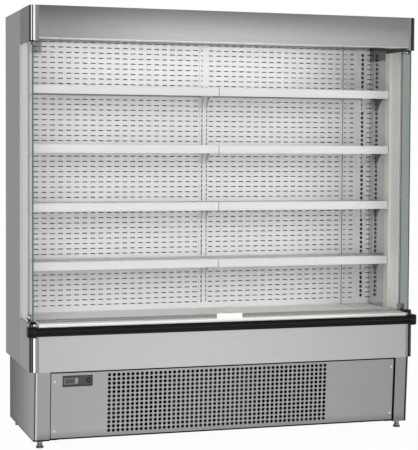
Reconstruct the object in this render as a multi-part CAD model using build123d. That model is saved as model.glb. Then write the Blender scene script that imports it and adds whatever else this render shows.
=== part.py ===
from build123d import *
import os
from math import atan2, cos, degrees, radians, sin, tan

# Open multideck display fridge, millimetres.
# X runs along the front to the viewer's right, Y runs away from the viewer, Z is up from the floor.
# Inside this file Y = 0 is the face of the lower front panel; save() moves every piece so that the
# origin ends up in the middle of the whole outline, on the floor.

# ---- driving sizes: carcass -------------------------------------------------------------------
WIDTH = 1890.0            # over the two end walls
HEIGHT = 2005.0           # floor to roof
DEPTH = 678.0             # lower front panel to rear wall
END_WALL = 40.0           # foamed end wall
REAR_WALL = 55.0          # foamed rear wall
ROOF = 48.0               # foamed roof
TUB_WALL = 40.0           # foamed floor and front of the lower tub
DUCT_DEPTH = 163.0        # air duct behind the back panels
FOOT_HEIGHT = 35.0        # floor to the underside of the plinth
PLINTH_HEIGHT = 319.0     # machine compartment
TUB_HEIGHT = 194.0        # lower tub, up to the underside of the nose
NOSE_HEIGHT = 23.0        # nose strip on top of the tub's front wall
NOSE_DEPTH = 44.0
NOSE_WALL = 2.5
HEADER_HEIGHT = 147.0     # canopy front
HEADER_END_DROP = 11.0    # how far the canopy ends hang below the canopy front
CORNER_RADIUS = 28.0      # rounded front corners of header and lower panel
END_WALL_FRONT = 267.0    # where the foamed end wall starts, behind the glass
SHEET = 1.5               # folded sheet metal
FIT = 0.5                 # assembly clearance between sheet parts

# ---- driving sizes: glazing -------------------------------------------------------------------
GLASS_INSET = 14.0        # outer face of the end wall to the glass
GLASS = 6.0
GLASS_FRONT = 24.0        # front edge of the end glass
GLASS_BITE = 118.0        # how far the glass reaches into its channel
CHANNEL_FRONT = 132.0     # front edge of the channel that holds the glass
CHANNEL_WALL = 6.0
TRIM_DEPTH = 49.0         # inner trim in front of the end wall
GLASS_FIT = 0.3           # glass to the sides of its grooves
CLIP_GRIP = 9.0           # clip jaw beside the glass
CLIP_SCREW = 5.0
FOOT_CLIP = (48.0, 34.0)  # along the glass, upwards
HEAD_CLIP = (40.0, 16.0)
HEAD_CLIP_FROM_EDGE = 24.0

# ---- driving sizes: shelving ------------------------------------------------------------------
SHELF_FRONT = 215.0       # face of the ticket rails
SHELF_TOP = 1660.0        # highest ticket rail, top edge
SHELF_PITCH = 275.0
SHELF_ROWS = 4
RAIL_HEIGHT = 40.0
RAIL_DEPTH = 9.0
RAIL_LIP = 4.0            # rail above the tray it is clipped to
RAIL_WALL = 2.0
RAIL_GROOVE = 3.0         # ticket face behind the rail's two edges
RAIL_EDGE = 5.0           # height of those edges
TRAY_FRONT = 20.0         # folded front of a shelf tray
SHELF_EDGE = 22.0         # folded sides of a shelf tray
BAY_GAP = 4.0             # between the two bays, and at the end walls
MIDDLE_X = 12.0           # joint of the two bays, right of the cabinet's middle
UPRIGHT_WIDTH = 50.0
UPRIGHT_WALL = 2.0
UPRIGHT_DEPTH = 28.0
UPRIGHT_FROM_WALL = 20.0
SLOTS_PER_SHELF = 4       # hook slots of an upright between two shelves
SLOT_HEIGHT = 13.0
SLOT_WIDTH = 5.0
BRACKET = 3.0             # plate thickness of a shelf bracket
BRACKET_OFFSET = 12.0     # bracket plate to the centre upright's middle
END_BRACKET_OFFSET = 5.0  # bracket plate to an end upright's middle, outwards
BRACKET_DROP = 92.0       # bracket height at the upright
BRACKET_NOSE = 16.0       # bracket height at its front end
BRACKET_HEEL = 18.0       # flat underside next to the upright
BRACKET_REACH = 205.0
HOOK_HEIGHT = 11.0
HOOK_REACH = 7.0
AIR_SLOT_LENGTH = 46.0    # slots of the back panels
AIR_SLOT_HEIGHT = 5.0
AIR_SLOT_COLUMNS = 5
AIR_SLOT_PITCH_X = 140.0
SIDE_PANEL_WIDTH = 84.0   # narrow outer strip of each bay's back panel

# ---- driving sizes: deck and air system -------------------------------------------------------
RETURN_GRILLE_DEPTH = 146.0
DECK_RISE = 24.0          # height of deck pans and return grille above the tub
TUB_LEDGE = 14.0
GRILLE_BAR = 10.0
GRILLE_SLAT = 4.0
GRILLE_SLATS = 20
FINGER_HOLE = (70.0, 22.0)
FINGER_FROM_END = 60.0
FINGER_FROM_FRONT = 40.0
FAN_PLATE_SETBACK = 10.0  # fan plate behind the return grille
FAN_PLATE_FLANGE = 18.0
FAN_PLATE_FOOT = 25.0
EVAP_FAN_RADIUS = 62.0
EVAP_FAN_HUB = 16.0
EVAP_MOTOR_RADIUS = 22.0
EVAP_FAN_SPACING = 760.0
EVAP_FAN_WIDTH = 22.0
COIL_LENGTH = 1460.0
COIL_HEIGHT = 104.0
COIL_BEHIND_FANS = 66.0
COIL_BEFORE_BACK = 23.5   # coil to the uprights
COIL_LIFT = 8.0           # fins above the tub floor
COIL_FINS = 12
COIL_GROOVE = 14.0        # depth of the gaps between fins
COIL_PLATE = 2.0
COIL_TUBE = 10.0
HONEYCOMB_DEPTH = 96.0
HONEYCOMB_HEIGHT = 20.0
HONEYCOMB_FRONT = 62.0
HONEYCOMB_CELLS = 18
HONEYCOMB_RIM = 6.0
HONEYCOMB_WEB = 4.0
LINING_RISE = 34.0        # ceiling lining above the header's lower edge
LAMP_SECTION = 16.0
LAMP_FROM_FRONT = 6.0
LAMP_FROM_END = 20.0

# ---- driving sizes: bumper --------------------------------------------------------------------
BUMPER_PROUD = 24.0       # ahead of the lower front panel
BUMPER_HEIGHT = 41.0
BUMPER_BELOW_TOP = 13.0   # bumper top below the nose's top
BUMPER_RIBS = 3
BUMPER_RIB = 2.6          # half height of a rib
BUMPER_RIB_PITCH = 7.0
BUMPER_RIB_PROUD = 2.0
BUMPER_CAP_PROUD = 14.0   # cap outside the end wall
BUMPER_CAP_LENGTH = 39.0
BUMPER_CAP_WRAP = 30.0
BUMPER_CAP_OVER = 5.0
BUMPER_CAP_RADIUS = 22.0
BUMPER_CAP_EDGE = 8.0        # rounding of the cap's upper and lower outer edges
SHOE_LENGTH = 46.0        # black shoe under the front of the glass
SHOE_HEIGHT = 12.0
SHOE_INSET = 2.0
SHOE_WALL = 6.0
PRICE_PLATE = (126.0, 3.0, 25.0)
PRICE_PLATE_SETBACK = 2.0

# ---- driving sizes: plinth --------------------------------------------------------------------
PLINTH_INSET = 18.0       # plinth inside the end walls
PLINTH_SETBACK = 3.0      # plinth face behind the lower panel, at its top edge
PLINTH_LEAN = 20.0        # how far the face leans back down to the floor
PLINTH_REAR_GAP = 16.0
PLINTH_RADIUS = 17.0
PLINTH_RETURN = 30.0      # rear return of a plinth end
POST_WIDTH = 75.0         # front return of a plinth end
LUG_WIDTH = 40.0          # flange behind the grille panel that takes its screws
LUG_GAP = 0.3             # panel edge to that flange
PANEL_GAP = 4.0
PANEL_EDGE = 14.0         # folded edge of the grille panel
CONTROL_FROM_POST = 52.0
CONTROL_FROM_TOP = 20.0
CONTROL_WIDTH = 140.0
CONTROL_HEIGHT = 52.0
CONTROL_RECESS = 10.0
VENT_SIZE = 13.7          # square punched holes
VENT_COLUMNS = 15
VENT_ROWS = 5
VENT_PITCH_X = 75.8
VENT_PITCH_Z = 65.0
VENT_FROM_CONTROL = 80.0
VENT_FROM_TOP = 24.0
THERMOSTAT = (75.0, 58.0, 34.0)
BEZEL = 3.0
BUTTONS = 3
BUTTON = (11.0, 6.5)
BUTTON_CORNER = 1.2
BUTTON_PROUD = 1.6
BUTTON_TRAVEL = 1.0
BUTTON_DEPTH = 6.0        # well of a button
BUTTON_FIT = 0.2
SWITCH_RADIUS = 10.0
SWITCH_DEPTH = 20.0
SWITCH_COLLAR = 2.0
ROCKER = (12.4, 3.0, 10.0)
ROCKER_FIT = 0.3
ROCKER_TILT = 16.0        # whole travel from off to on
SCREW_HEAD = 6.0
SCREW_FROM_EDGE = 16.0
SCREW_FROM_TOP = 40.0
SCREW_HEAD_HEIGHT = 2.4
SCREW_LENGTH = 20.0
SCREW_FIT = 0.25
REAR_SLOT = (160.0, 12.0)
REAR_SLOT_PITCH = (190.0, 40.0)
REAR_SLOT_ROWS = 5

# ---- driving sizes: machine compartment -------------------------------------------------------
FRAME_HEIGHT = 30.0
FRAME_BAR = 40.0
FRAME_WALL = 3.0
FRAME_INSET = 14.0        # frame inside the plinth sheets
CROSS_RAIL_X = 300.0
FRAME_BEHIND_PANEL = 8.0
FLOOR_SHEET = 2.0
FOOT_FROM_END = 55.0
FOOT_FROM_FRONT = 62.0
FOOT_FROM_REAR = 38.0
FOOT_PAD_RADIUS = 19.0
FOOT_STEM_RADIUS = 6.0
FOOT_STEM_LENGTH = 52.0
FOOT_PAD_HEIGHT = 8.0
FOOT_NECK_RADIUS = 13.5
FOOT_SIDES = 12
SHAFT_FIT = 0.05          # stems and shafts in their bores
CONDENSER = (430.0, 62.0, 240.0)
CONDENSER_X = -60.0
CONDENSER_SETBACK = 60.0
CONDENSER_FINS = 12
CONDENSER_GROOVE = 9.0
CONDENSER_TUBE = 8.0
SHROUD_DEPTH = 46.0
FAN_RADIUS = 100.0
FAN_HUB = 27.0
FAN_WIDTH = 24.0
FAN_MOTOR_RADIUS = 34.0
FAN_BLADES = 5
FAN_BLADE = 2.0
FAN_PITCH = 28.0          # blade against the plane of the wheel, degrees
FAN_SEAT = 0.3            # hub to the face of its motor
FAN_SHAFT = 4.0           # shaft radius
FAN_BORE = 14.0           # depth of the shaft's bore in the hub
STRUT = 3.0
FAN_GAP = 5.0             # blade tip to the ring
COMPRESSOR_FROM_END = 475.0
COMPRESSOR_FROM_REAR = 298.0
COMPRESSOR_RADIUS = 84.0
COMPRESSOR_HEIGHT = 205.0
TRAY = (420.0, 48.0)      # along the cabinet, upwards
TRAY_WALL = 3.0
TRAY_RADIUS = 16.0
TRAY_FROM_END = 385.0
TRAY_FROM_REAR = 98.0     # tray to the rear of the cabinet
TRAY_BEHIND_BOX = 65.0    # electrical box to the tray
ELECTRIC_BOX = (230.0, 110.0, 130.0)
ELECTRIC_FROM_END = 385.0
ELECTRIC_FROM_FRONT = 240.0
ELECTRIC_EDGE = 6.0
GLAND_RADIUS = 10.0
GLAND_LENGTH = 13.0
GLAND_FROM_BASE = 30.0
GLAND_PITCH = 70.0

# ---- levels and planes worked out from them ----------------------------------------------------
OUT_X = WIDTH / 2
IN_X = OUT_X - END_WALL
TUB_Z = FOOT_HEIGHT + PLINTH_HEIGHT
TUB_FLOOR_Z = TUB_Z + TUB_WALL
NOSE_Z = TUB_Z + TUB_HEIGHT
DECK_Z = NOSE_Z + NOSE_HEIGHT
HEADER_Z = HEIGHT - HEADER_HEIGHT
CANOPY_END_Z = HEADER_Z - HEADER_END_DROP
ROOF_Z = HEIGHT - ROOF
REAR_IN_Y = DEPTH - REAR_WALL
BACK_Y = REAR_IN_Y - DUCT_DEPTH
LINING_Z = HEADER_Z + LINING_RISE
BUMPER_TOP_Z = DECK_Z - BUMPER_BELOW_TOP
GRILLE_Y = NOSE_DEPTH + FIT
DECK_FRONT_Y = GRILLE_Y + RETURN_GRILLE_DEPTH + FIT
FAN_PLATE_Y = GRILLE_Y + RETURN_GRILLE_DEPTH + FAN_PLATE_SETBACK
COIL_Y = FAN_PLATE_Y + COIL_BEHIND_FANS
COIL_DEPTH = BACK_Y - COIL_BEFORE_BACK - COIL_Y
PLINTH_X = OUT_X - PLINTH_INSET
PLINTH_REAR_Y = DEPTH - PLINTH_REAR_GAP
PANEL_X = PLINTH_X - POST_WIDTH - PANEL_GAP
FLOOR_Z = FOOT_HEIGHT + SHEET + FRAME_HEIGHT + FLOOR_SHEET
LEAN = degrees(atan2(PLINTH_LEAN, PLINTH_HEIGHT))
UPRIGHT_X = IN_X - UPRIGHT_FROM_WALL - UPRIGHT_WIDTH / 2
SLOT_PITCH = SHELF_PITCH / SLOTS_PER_SHELF
TRAY_DROP = RAIL_LIP + SHEET
ORIGIN_Y = (DEPTH - BUMPER_PROUD) / 2


# ---- small tools -------------------------------------------------------------------------------
def save(node, *solids):
    """Move a piece to the shared origin and write it as one node."""
    shapes = [Pos(0, -ORIGIN_Y, 0) * solid for shape in solids for solid in shape.solids()]
    export_step(Compound(children=shapes), f"parts/{node}.step")


def block(x0, x1, y0, y1, z0, z1):
    """Box between two corners."""
    place = Pos((x0 + x1) / 2, (y0 + y1) / 2, (z0 + z1) / 2)
    return place * Box(x1 - x0, y1 - y0, z1 - z0)


def both_ends(solid):
    """The right-hand piece and its mirror image."""
    return [solid, mirror(solid, about=Plane.YZ)]


def along_x(outline, x0, x1):
    """Closed outline of (y, z) points, drawn out along X."""
    wire = Polyline(*[(x0, y, z) for y, z in outline], close=True)
    return extrude(make_face(wire), amount=x1 - x0, dir=(1, 0, 0))


def along_z(outline, z0, z1):
    """Closed outline of (x, y) points, drawn up along Z."""
    wire = Polyline(*[(x, y, z0) for x, y in outline], close=True)
    return extrude(make_face(wire), amount=z1 - z0, dir=(0, 0, 1))


def folded(points, thickness):
    """Outline of a folded sheet: the given line, and the same line shifted to its left, mitred."""
    shifted = []
    last = len(points) - 1
    for index, (u, v) in enumerate(points):
        normals = []
        for start in (index - 1, index):
            if 0 <= start < last:
                du = points[start + 1][0] - points[start][0]
                dv = points[start + 1][1] - points[start][1]
                length = (du * du + dv * dv) ** 0.5
                normals.append((-dv / length, du / length))
        nu = sum(n[0] for n in normals)
        nv = sum(n[1] for n in normals)
        scale = thickness * len(normals) / (nu * nu + nv * nv)
        if len(normals) == 2:
            scale = 2 * thickness / (nu * nu + nv * nv)
        shifted.append((u + nu * scale, v + nv * scale))
    return list(points) + shifted[::-1]


def grid(columns, rows, pitch_x, pitch_z):
    """Places of a rectangular pattern, centred on zero."""
    for column in range(columns):
        for row in range(rows):
            yield (column - (columns - 1) / 2) * pitch_x, (row - (rows - 1) / 2) * pitch_z


def upright_edges(solid, x, y, radius):
    """Round the vertical edges of a solid that stand at one plan position."""
    edges = [e for e in solid.edges().filter_by(Axis.Z)
             if abs(e.center().X - x) < 0.01 and abs(e.center().Y - y) < 0.01]
    return fillet(edges, radius)


def leaning(shape):
    """Tip a piece drawn in the upright plane Y = 0, top edge at TUB_Z, onto the leaning plinth face."""
    return Pos(0, PLINTH_SETBACK, TUB_Z) * Rot(LEAN, 0, 0) * Pos(0, 0, -TUB_Z) * shape


# ---- foamed carcass ----------------------------------------------------------------------------
def tub():
    """Foamed tub: floor, front wall and the ledge that carries the return grille."""
    outline = [
        (SHEET, TUB_Z), (REAR_IN_Y, TUB_Z), (REAR_IN_Y, TUB_FLOOR_Z), (TUB_WALL, TUB_FLOOR_Z),
        (TUB_WALL, NOSE_Z - TUB_LEDGE - FIT), (TUB_WALL + TUB_LEDGE, NOSE_Z - FIT),
        (TUB_WALL + TUB_LEDGE, NOSE_Z), (SHEET, NOSE_Z),
    ]
    return along_x(outline, -IN_X, IN_X)


def rear_wall():
    """Foamed rear wall with a rounded groove for the wiring down its middle."""
    wall = block(-IN_X, IN_X, REAR_IN_Y, DEPTH, TUB_Z, ROOF_Z)
    groove = Pos(0, DEPTH, (TUB_Z + ROOF_Z) / 2) * Cylinder(REAR_WALL / 4, ROOF_Z - TUB_Z)
    return wall - groove


def end_wall():
    """Foamed end wall behind the glass, its outer edges rounded."""
    wall = block(IN_X, OUT_X, END_WALL_FRONT, DEPTH, TUB_Z, HEIGHT)
    wall = upright_edges(wall, OUT_X, DEPTH, END_WALL / 8)
    return upright_edges(wall, OUT_X, END_WALL_FRONT, END_WALL / 16)


def roof():
    """Foamed roof between the end walls."""
    return block(-IN_X, IN_X, SHEET, DEPTH, ROOF_Z, HEIGHT - SHEET)


def lower_cheek():
    """Foamed lower end piece between the end wall and the front corner."""
    return block(IN_X, OUT_X, CORNER_RADIUS, END_WALL_FRONT, TUB_Z, DECK_Z)


def corner(z0, z1):
    """Foam-filled corner section with one large round."""
    solid = block(IN_X, OUT_X, 0, CORNER_RADIUS, z0, z1)
    return upright_edges(solid, OUT_X, 0, CORNER_RADIUS - 0.1)


# ---- skins on the front ------------------------------------------------------------------------
def lower_front_panel():
    """Stainless panel with its lower edge folded back under the tub."""
    line = [(TUB_WALL / 2, TUB_Z - SHEET), (0, TUB_Z - SHEET), (0, NOSE_Z)]
    shell = along_x(folded(line, -SHEET), -IN_X, IN_X)
    return shell


def header_front():
    """Stainless canopy front: folded back over the roof and under the lamp."""
    lip = HONEYCOMB_FRONT - FIT
    line = [(lip, HEADER_Z), (0, HEADER_Z), (0, HEIGHT), (CORNER_RADIUS * 2, HEIGHT)]
    return along_x(folded(line, -SHEET), -IN_X, IN_X)


def canopy_end():
    """End piece of the canopy, from the rounded corner back to the end wall."""
    solid = block(IN_X, OUT_X, CORNER_RADIUS, END_WALL_FRONT, CANOPY_END_Z, HEIGHT)
    return upright_edges(solid, OUT_X, END_WALL_FRONT, END_WALL / 16)


def nose_strip():
    """Inverted channel over the front wall of the tub, its front edge rounded."""
    wall = NOSE_WALL
    foot = BUMPER_TOP_Z + FIT
    outline = [
        (-wall, foot), (0, foot), (0, NOSE_Z), (wall, NOSE_Z), (wall, DECK_Z - wall),
        (NOSE_DEPTH - wall, DECK_Z - wall), (NOSE_DEPTH - wall, NOSE_Z), (NOSE_DEPTH, NOSE_Z),
        (NOSE_DEPTH, DECK_Z), (-wall, DECK_Z),
    ]
    strip = along_x(outline, -IN_X, IN_X)
    top = [e for e in strip.edges().filter_by(Axis.X)
           if abs(e.center().Y + wall) < 0.01 and abs(e.center().Z - DECK_Z) < 0.01]
    return fillet(top, wall * 0.9)


def price_plate():
    """Bare label plate that stands on the middle of the nose."""
    width, thickness, height = PRICE_PLATE
    y0 = PRICE_PLATE_SETBACK
    plate = block(-width / 2, width / 2, y0, y0 + thickness, DECK_Z, DECK_Z + height)
    corners = [e for e in plate.edges().filter_by(Axis.Y) if e.center().Z > DECK_Z + 1]
    return fillet(corners, height / 6)


def bumper():
    """Extruded bumper rail with rounded shoulders and ribs along its face."""
    z0 = BUMPER_TOP_Z - BUMPER_HEIGHT
    z1 = BUMPER_TOP_Z
    face = BUMPER_RIB_PROUD - BUMPER_PROUD
    lower = [(0, z0 + 2), (face * 0.7, z0), (face + 1.5, z0 + 3), (face, z0 + 8)]
    ribs = []
    for index in range(BUMPER_RIBS):
        z = (z0 + z1) / 2 + (index - (BUMPER_RIBS - 1) / 2) * BUMPER_RIB_PITCH
        ribs += [(face, z - BUMPER_RIB), (-BUMPER_PROUD, z - BUMPER_RIB / 2)]
        ribs += [(-BUMPER_PROUD, z + BUMPER_RIB / 2), (face, z + BUMPER_RIB)]
    upper = [(y, z0 + z1 - z) for y, z in lower[::-1]]
    end = OUT_X + BUMPER_CAP_PROUD - BUMPER_CAP_LENGTH
    return along_x(lower + ribs + upper, -end, end)


def bumper_cap():
    """Moulded cap that wraps the corner at the end of the bumper."""
    x1 = OUT_X + BUMPER_CAP_PROUD
    x0 = x1 - BUMPER_CAP_LENGTH
    z0 = BUMPER_TOP_Z - BUMPER_HEIGHT - BUMPER_CAP_OVER
    z1 = BUMPER_TOP_Z + BUMPER_CAP_OVER
    cap = block(x0, x1, -BUMPER_PROUD, BUMPER_CAP_WRAP, z0, z1)
    cap = upright_edges(cap, x1, -BUMPER_PROUD, BUMPER_CAP_RADIUS)
    cap = upright_edges(cap, x1, BUMPER_CAP_WRAP, BUMPER_CAP_PROUD * 0.65)
    rims = [e for e in cap.faces().sort_by(Axis.Z)[0].edges() + cap.faces().sort_by(Axis.Z)[-1].edges()
            if e.center().X > x0 + 1 and e.center().Y < BUMPER_CAP_WRAP - 0.1]
    cap = fillet(rims, BUMPER_CAP_EDGE)
    body = block(x0 - CORNER_RADIUS, OUT_X, 0, CORNER_RADIUS + BUMPER_CAP_WRAP, z0 - 1, z1 + 1)
    return cap - upright_edges(body, OUT_X, 0, CORNER_RADIUS - 0.1)


def glass_shoe():
    """Black shoe on top of the corner that takes the front foot of the glass."""
    x0, x1 = glass_x(SHOE_WALL)[0], OUT_X - SHOE_INSET
    shoe = block(x0, x1, SHOE_INSET, SHOE_INSET + SHOE_LENGTH, DECK_Z, DECK_Z + SHOE_HEIGHT)
    shoe = upright_edges(shoe, x1, SHOE_INSET, CORNER_RADIUS - 3 * SHOE_INSET)
    slot = block(*glass_x(GLASS_FIT), GLASS_FRONT - GLASS_FIT, GLASS_FRONT + SHOE_LENGTH, DECK_Z + FIT,
                 DECK_Z + SHOE_HEIGHT + 1)
    return shoe - slot


# ---- end glazing -------------------------------------------------------------------------------
def glass_x(clearance):
    """Inner and outer face of the right-hand glass, widened by a clearance."""
    return OUT_X - GLASS_INSET - GLASS - clearance, OUT_X - GLASS_INSET + clearance


def end_glass():
    """Tempered end pane with rounded front corners."""
    x0, x1 = glass_x(0)
    pane = block(x0, x1, GLASS_FRONT, CHANNEL_FRONT + GLASS_BITE, DECK_Z + FIT, CANOPY_END_Z - FIT)
    corners = [e for e in pane.edges().filter_by(Axis.X) if e.center().Y < GLASS_FRONT + 1]
    return fillet(corners, 8)


def glass_channel():
    """Upright profile that grips the glass, with the trim that closes the front of the end wall."""
    x0, x1 = glass_x(CHANNEL_WALL)
    slot0, slot1 = glass_x(GLASS_FIT)
    slot_end = CHANNEL_FRONT + GLASS_BITE + GLASS_FIT
    outline = [
        (slot1, CHANNEL_FRONT), (x1, CHANNEL_FRONT), (x1, END_WALL_FRONT), (IN_X, END_WALL_FRONT),
        (IN_X, END_WALL_FRONT - TRIM_DEPTH), (x0, END_WALL_FRONT - TRIM_DEPTH), (x0, CHANNEL_FRONT),
        (slot0, CHANNEL_FRONT), (slot0, slot_end), (slot1, slot_end),
    ]
    return along_z(outline, DECK_Z, CANOPY_END_Z)


def glass_clips():
    """Chromed clamps at the foot and the head of each pane, with their clamping screws."""
    clips = []
    x0, x1 = glass_x(CLIP_GRIP)
    foot = CHANNEL_FRONT - FIT
    head = GLASS_FRONT + HEAD_CLIP_FROM_EDGE
    spans = (
        (foot - FOOT_CLIP[0], foot, DECK_Z, DECK_Z + FOOT_CLIP[1]),
        (head, head + HEAD_CLIP[0], CANOPY_END_Z - HEAD_CLIP[1], CANOPY_END_Z),
    )
    for y0, y1, z0, z1 in spans:
        clip = block(x0, x1, y0, y1, z0, z1)
        clip = chamfer(clip.edges().filter_by(Axis.X), CLIP_GRIP / 2)
        clip -= block(*glass_x(GLASS_FIT), y0 - 1, y1 + 1, DECK_Z + FIT / 2, CANOPY_END_Z - FIT / 2)
        screw = Plane.YZ.offset(x1) * Pos((y0 + y1) / 2, (z0 + z1) / 2) * RegularPolygon(CLIP_SCREW, 8)
        clips += both_ends(clip + extrude(screw, amount=CLIP_SCREW / 2))
    return clips


# ---- shelving ----------------------------------------------------------------------------------
def slot_levels():
    """Heights of an upright's hook slots, counted down from the top shelf."""
    top = SHELF_TOP - TRAY_DROP - HOOK_HEIGHT
    first = int((LINING_Z - 40 - top) // SLOT_PITCH)
    last = int((top - DECK_Z - 60) // SLOT_PITCH)
    return [top + step * SLOT_PITCH for step in range(first, -last - 1, -1)]


def uprights():
    """Three slotted channels that stand on the tub floor and carry the shelves."""
    half = UPRIGHT_WIDTH / 2
    pieces = []
    for x, sides in ((-UPRIGHT_X, (-1,)), (MIDDLE_X, (-1, 1)), (UPRIGHT_X, (1,))):
        line = [(x - half, BACK_Y + UPRIGHT_DEPTH), (x - half, BACK_Y), (x + half, BACK_Y),
                (x + half, BACK_Y + UPRIGHT_DEPTH)]
        post = along_z(folded(line, UPRIGHT_WALL), TUB_FLOOR_Z, LINING_Z)
        for side in sides:
            slots = [Pos(bracket_x(side, x != MIDDLE_X), BACK_Y + 1, z) for z in slot_levels()]
            post -= [slot * Box(SLOT_WIDTH, 6, SLOT_HEIGHT) for slot in slots]
        pieces.append(post)
    return pieces


def bracket_x(side, outer):
    """Middle of a bracket plate: beside the centre upright, or on an end upright."""
    return side * (UPRIGHT_X + END_BRACKET_OFFSET) if outer else MIDDLE_X + side * BRACKET_OFFSET


def shelf_brackets():
    """Tapered plates under the shelves, hooked into the slots of the uprights."""
    pieces = []
    front = BACK_Y - BRACKET_REACH
    for row in range(SHELF_ROWS):
        top = SHELF_TOP - TRAY_DROP - row * SHELF_PITCH
        outline = [(front, top), (BACK_Y, top), (BACK_Y, top - BRACKET_DROP),
                   (BACK_Y - BRACKET_HEEL, top - BRACKET_DROP), (front, top - BRACKET_NOSE)]
        for side in (-1, 1):
            for outer in (True, False):
                x = bracket_x(side, outer)
                plate = along_x(outline, x - BRACKET / 2, x + BRACKET / 2)
                for z in (top - HOOK_HEIGHT, top - HOOK_HEIGHT - SLOT_PITCH):
                    plate += block(x - BRACKET / 2, x + BRACKET / 2, BACK_Y - 1, BACK_Y + HOOK_REACH,
                                   z - HOOK_HEIGHT / 2, z + HOOK_HEIGHT / 2)
                pieces.append(plate)
    return pieces


def shelf(side, row):
    """One shelf of a bay: folded tray, and the ticket rail hooked over its front edge."""
    top = SHELF_TOP - row * SHELF_PITCH
    x0 = BAY_GAP / 2 + side * MIDDLE_X
    x1 = IN_X - BAY_GAP
    tray_z = top - RAIL_LIP
    y0 = SHELF_FRONT + RAIL_GROOVE + RAIL_WALL
    y1 = BACK_Y - BAY_GAP
    tray = along_x(folded([(y0, tray_z - TRAY_FRONT), (y0, tray_z), (y1, tray_z)], -SHEET), x0, x1)
    for x in (x0, x1 - SHEET):
        tray += block(x, x + SHEET, y0, y1, tray_z - SHELF_EDGE, tray_z - SHEET / 2)
    pieces = [tray, along_x(rail_outline(SHELF_FRONT, top), x0, x1)]
    return pieces if side > 0 else [mirror(piece, about=Plane.YZ) for piece in pieces]


def rail_outline(front, top):
    """Section of a ticket rail: a groove for the tickets, and a channel that hooks over the tray."""
    back = front + RAIL_DEPTH
    bottom = top - RAIL_HEIGHT
    face = front + RAIL_GROOVE
    web = face + RAIL_WALL
    return [
        (back, top), (face, top), (front + RAIL_WALL / 2, top - RAIL_EDGE / 2),
        (front + RAIL_WALL / 2, top - RAIL_EDGE), (face, top - RAIL_EDGE), (face, bottom + RAIL_EDGE),
        (front, bottom + RAIL_EDGE), (front, bottom), (back, bottom), (back, bottom + RAIL_WALL),
        (web, bottom + RAIL_WALL), (web, top - RAIL_LIP), (back, top - RAIL_LIP),
    ]


def back_panels():
    """Slotted panels of both bays, each with an outer strip and a filler beside the end upright."""
    x1 = UPRIGHT_X - UPRIGHT_WIDTH / 2 - FIT
    y0 = BACK_Y + UPRIGHT_WALL
    seam = x1 - SIDE_PANEL_WIDTH
    panels = []
    for side in (-1, 1):
        x0 = side * MIDDLE_X + UPRIGHT_WIDTH / 2 + FIT
        panel = block(x0, seam - FIT, y0, y0 + SHEET, NOSE_Z, LINING_Z)
        for row in range(SHELF_ROWS + 1):
            z = SHELF_TOP + SHELF_PITCH / 2 - row * SHELF_PITCH
            for dx, _ in grid(AIR_SLOT_COLUMNS, 1, AIR_SLOT_PITCH_X, 0):
                slot = Pos((x0 + seam) / 2 + dx, y0, z) * Box(AIR_SLOT_LENGTH, 4 * SHEET, AIR_SLOT_HEIGHT)
                panel -= slot
        panels.append(panel if side > 0 else mirror(panel, about=Plane.YZ))
    strip = block(seam, x1, y0, y0 + SHEET, NOSE_Z, LINING_Z)
    filler = block(UPRIGHT_X + UPRIGHT_WIDTH / 2 + FIT, IN_X, y0, y0 + SHEET, NOSE_Z, LINING_Z)
    return panels + both_ends(strip) + both_ends(filler)


# ---- deck and air path -------------------------------------------------------------------------
def return_grille():
    """Air return grille behind the nose: a frame with upright slats across it."""
    y0 = GRILLE_Y
    y1 = GRILLE_Y + RETURN_GRILLE_DEPTH
    z0 = NOSE_Z
    z1 = NOSE_Z + DECK_RISE
    frame = block(-IN_X + FIT, IN_X - FIT, y0, y1, z0, z1)
    pitch = (2 * IN_X - 2 * GRILLE_BAR) / GRILLE_SLATS
    gap = pitch - GRILLE_SLAT
    for index in range(GRILLE_SLATS):
        x = -IN_X + GRILLE_BAR + (index + 0.5) * pitch
        frame -= block(x - gap / 2, x + gap / 2, y0 + GRILLE_BAR, y1 - GRILLE_BAR, z0 - 1, z1 + 1)
    return frame


def deck(side):
    """Lift-out deck pan of one bay with folded edges and two finger holes."""
    x0 = BAY_GAP / 2 + side * MIDDLE_X
    x1 = IN_X - BAY_GAP
    z0 = NOSE_Z
    z1 = NOSE_Z + DECK_RISE
    pan = block(x0, x1, DECK_FRONT_Y, BACK_Y - BAY_GAP, z0, z1)
    pan -= block(x0 + SHEET, x1 - SHEET, DECK_FRONT_Y + SHEET, BACK_Y - BAY_GAP - SHEET,
                 z0 - 1, z1 - SHEET)
    for x in (x0 + FINGER_FROM_END, x1 - FINGER_FROM_END):
        pan -= Pos(x, DECK_FRONT_Y + FINGER_FROM_FRONT, z1) * Box(*FINGER_HOLE, 4 * SHEET)
    return pan if side > 0 else mirror(pan, about=Plane.YZ)


def evaporator_fan_place(side):
    """Middle of an evaporator fan's ring, on the rear face of the fan plate."""
    return side * EVAP_FAN_SPACING / 2, FAN_PLATE_Y + SHEET, (TUB_FLOOR_Z + NOSE_Z) / 2


def fan_plate():
    """Upright plate across the tub with the rings and motors of the fans, top and foot folded."""
    line = [(FAN_PLATE_Y - FAN_PLATE_FLANGE, NOSE_Z - SHEET), (FAN_PLATE_Y, NOSE_Z - SHEET),
            (FAN_PLATE_Y, TUB_FLOOR_Z), (FAN_PLATE_Y + FAN_PLATE_FOOT, TUB_FLOOR_Z)]
    plate = along_x(folded(line, SHEET), -IN_X + FIT, IN_X - FIT)
    motors = []
    for side in (-1, 1):
        place = evaporator_fan_place(side)
        plate -= Pos(*place) * Rot(90, 0, 0) * Cylinder(EVAP_FAN_RADIUS + FAN_GAP, 6 * SHEET)
        motors.append(motor_on_strut(place, EVAP_FAN_RADIUS, EVAP_FAN_WIDTH, EVAP_MOTOR_RADIUS))
    return [plate] + motors


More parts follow.
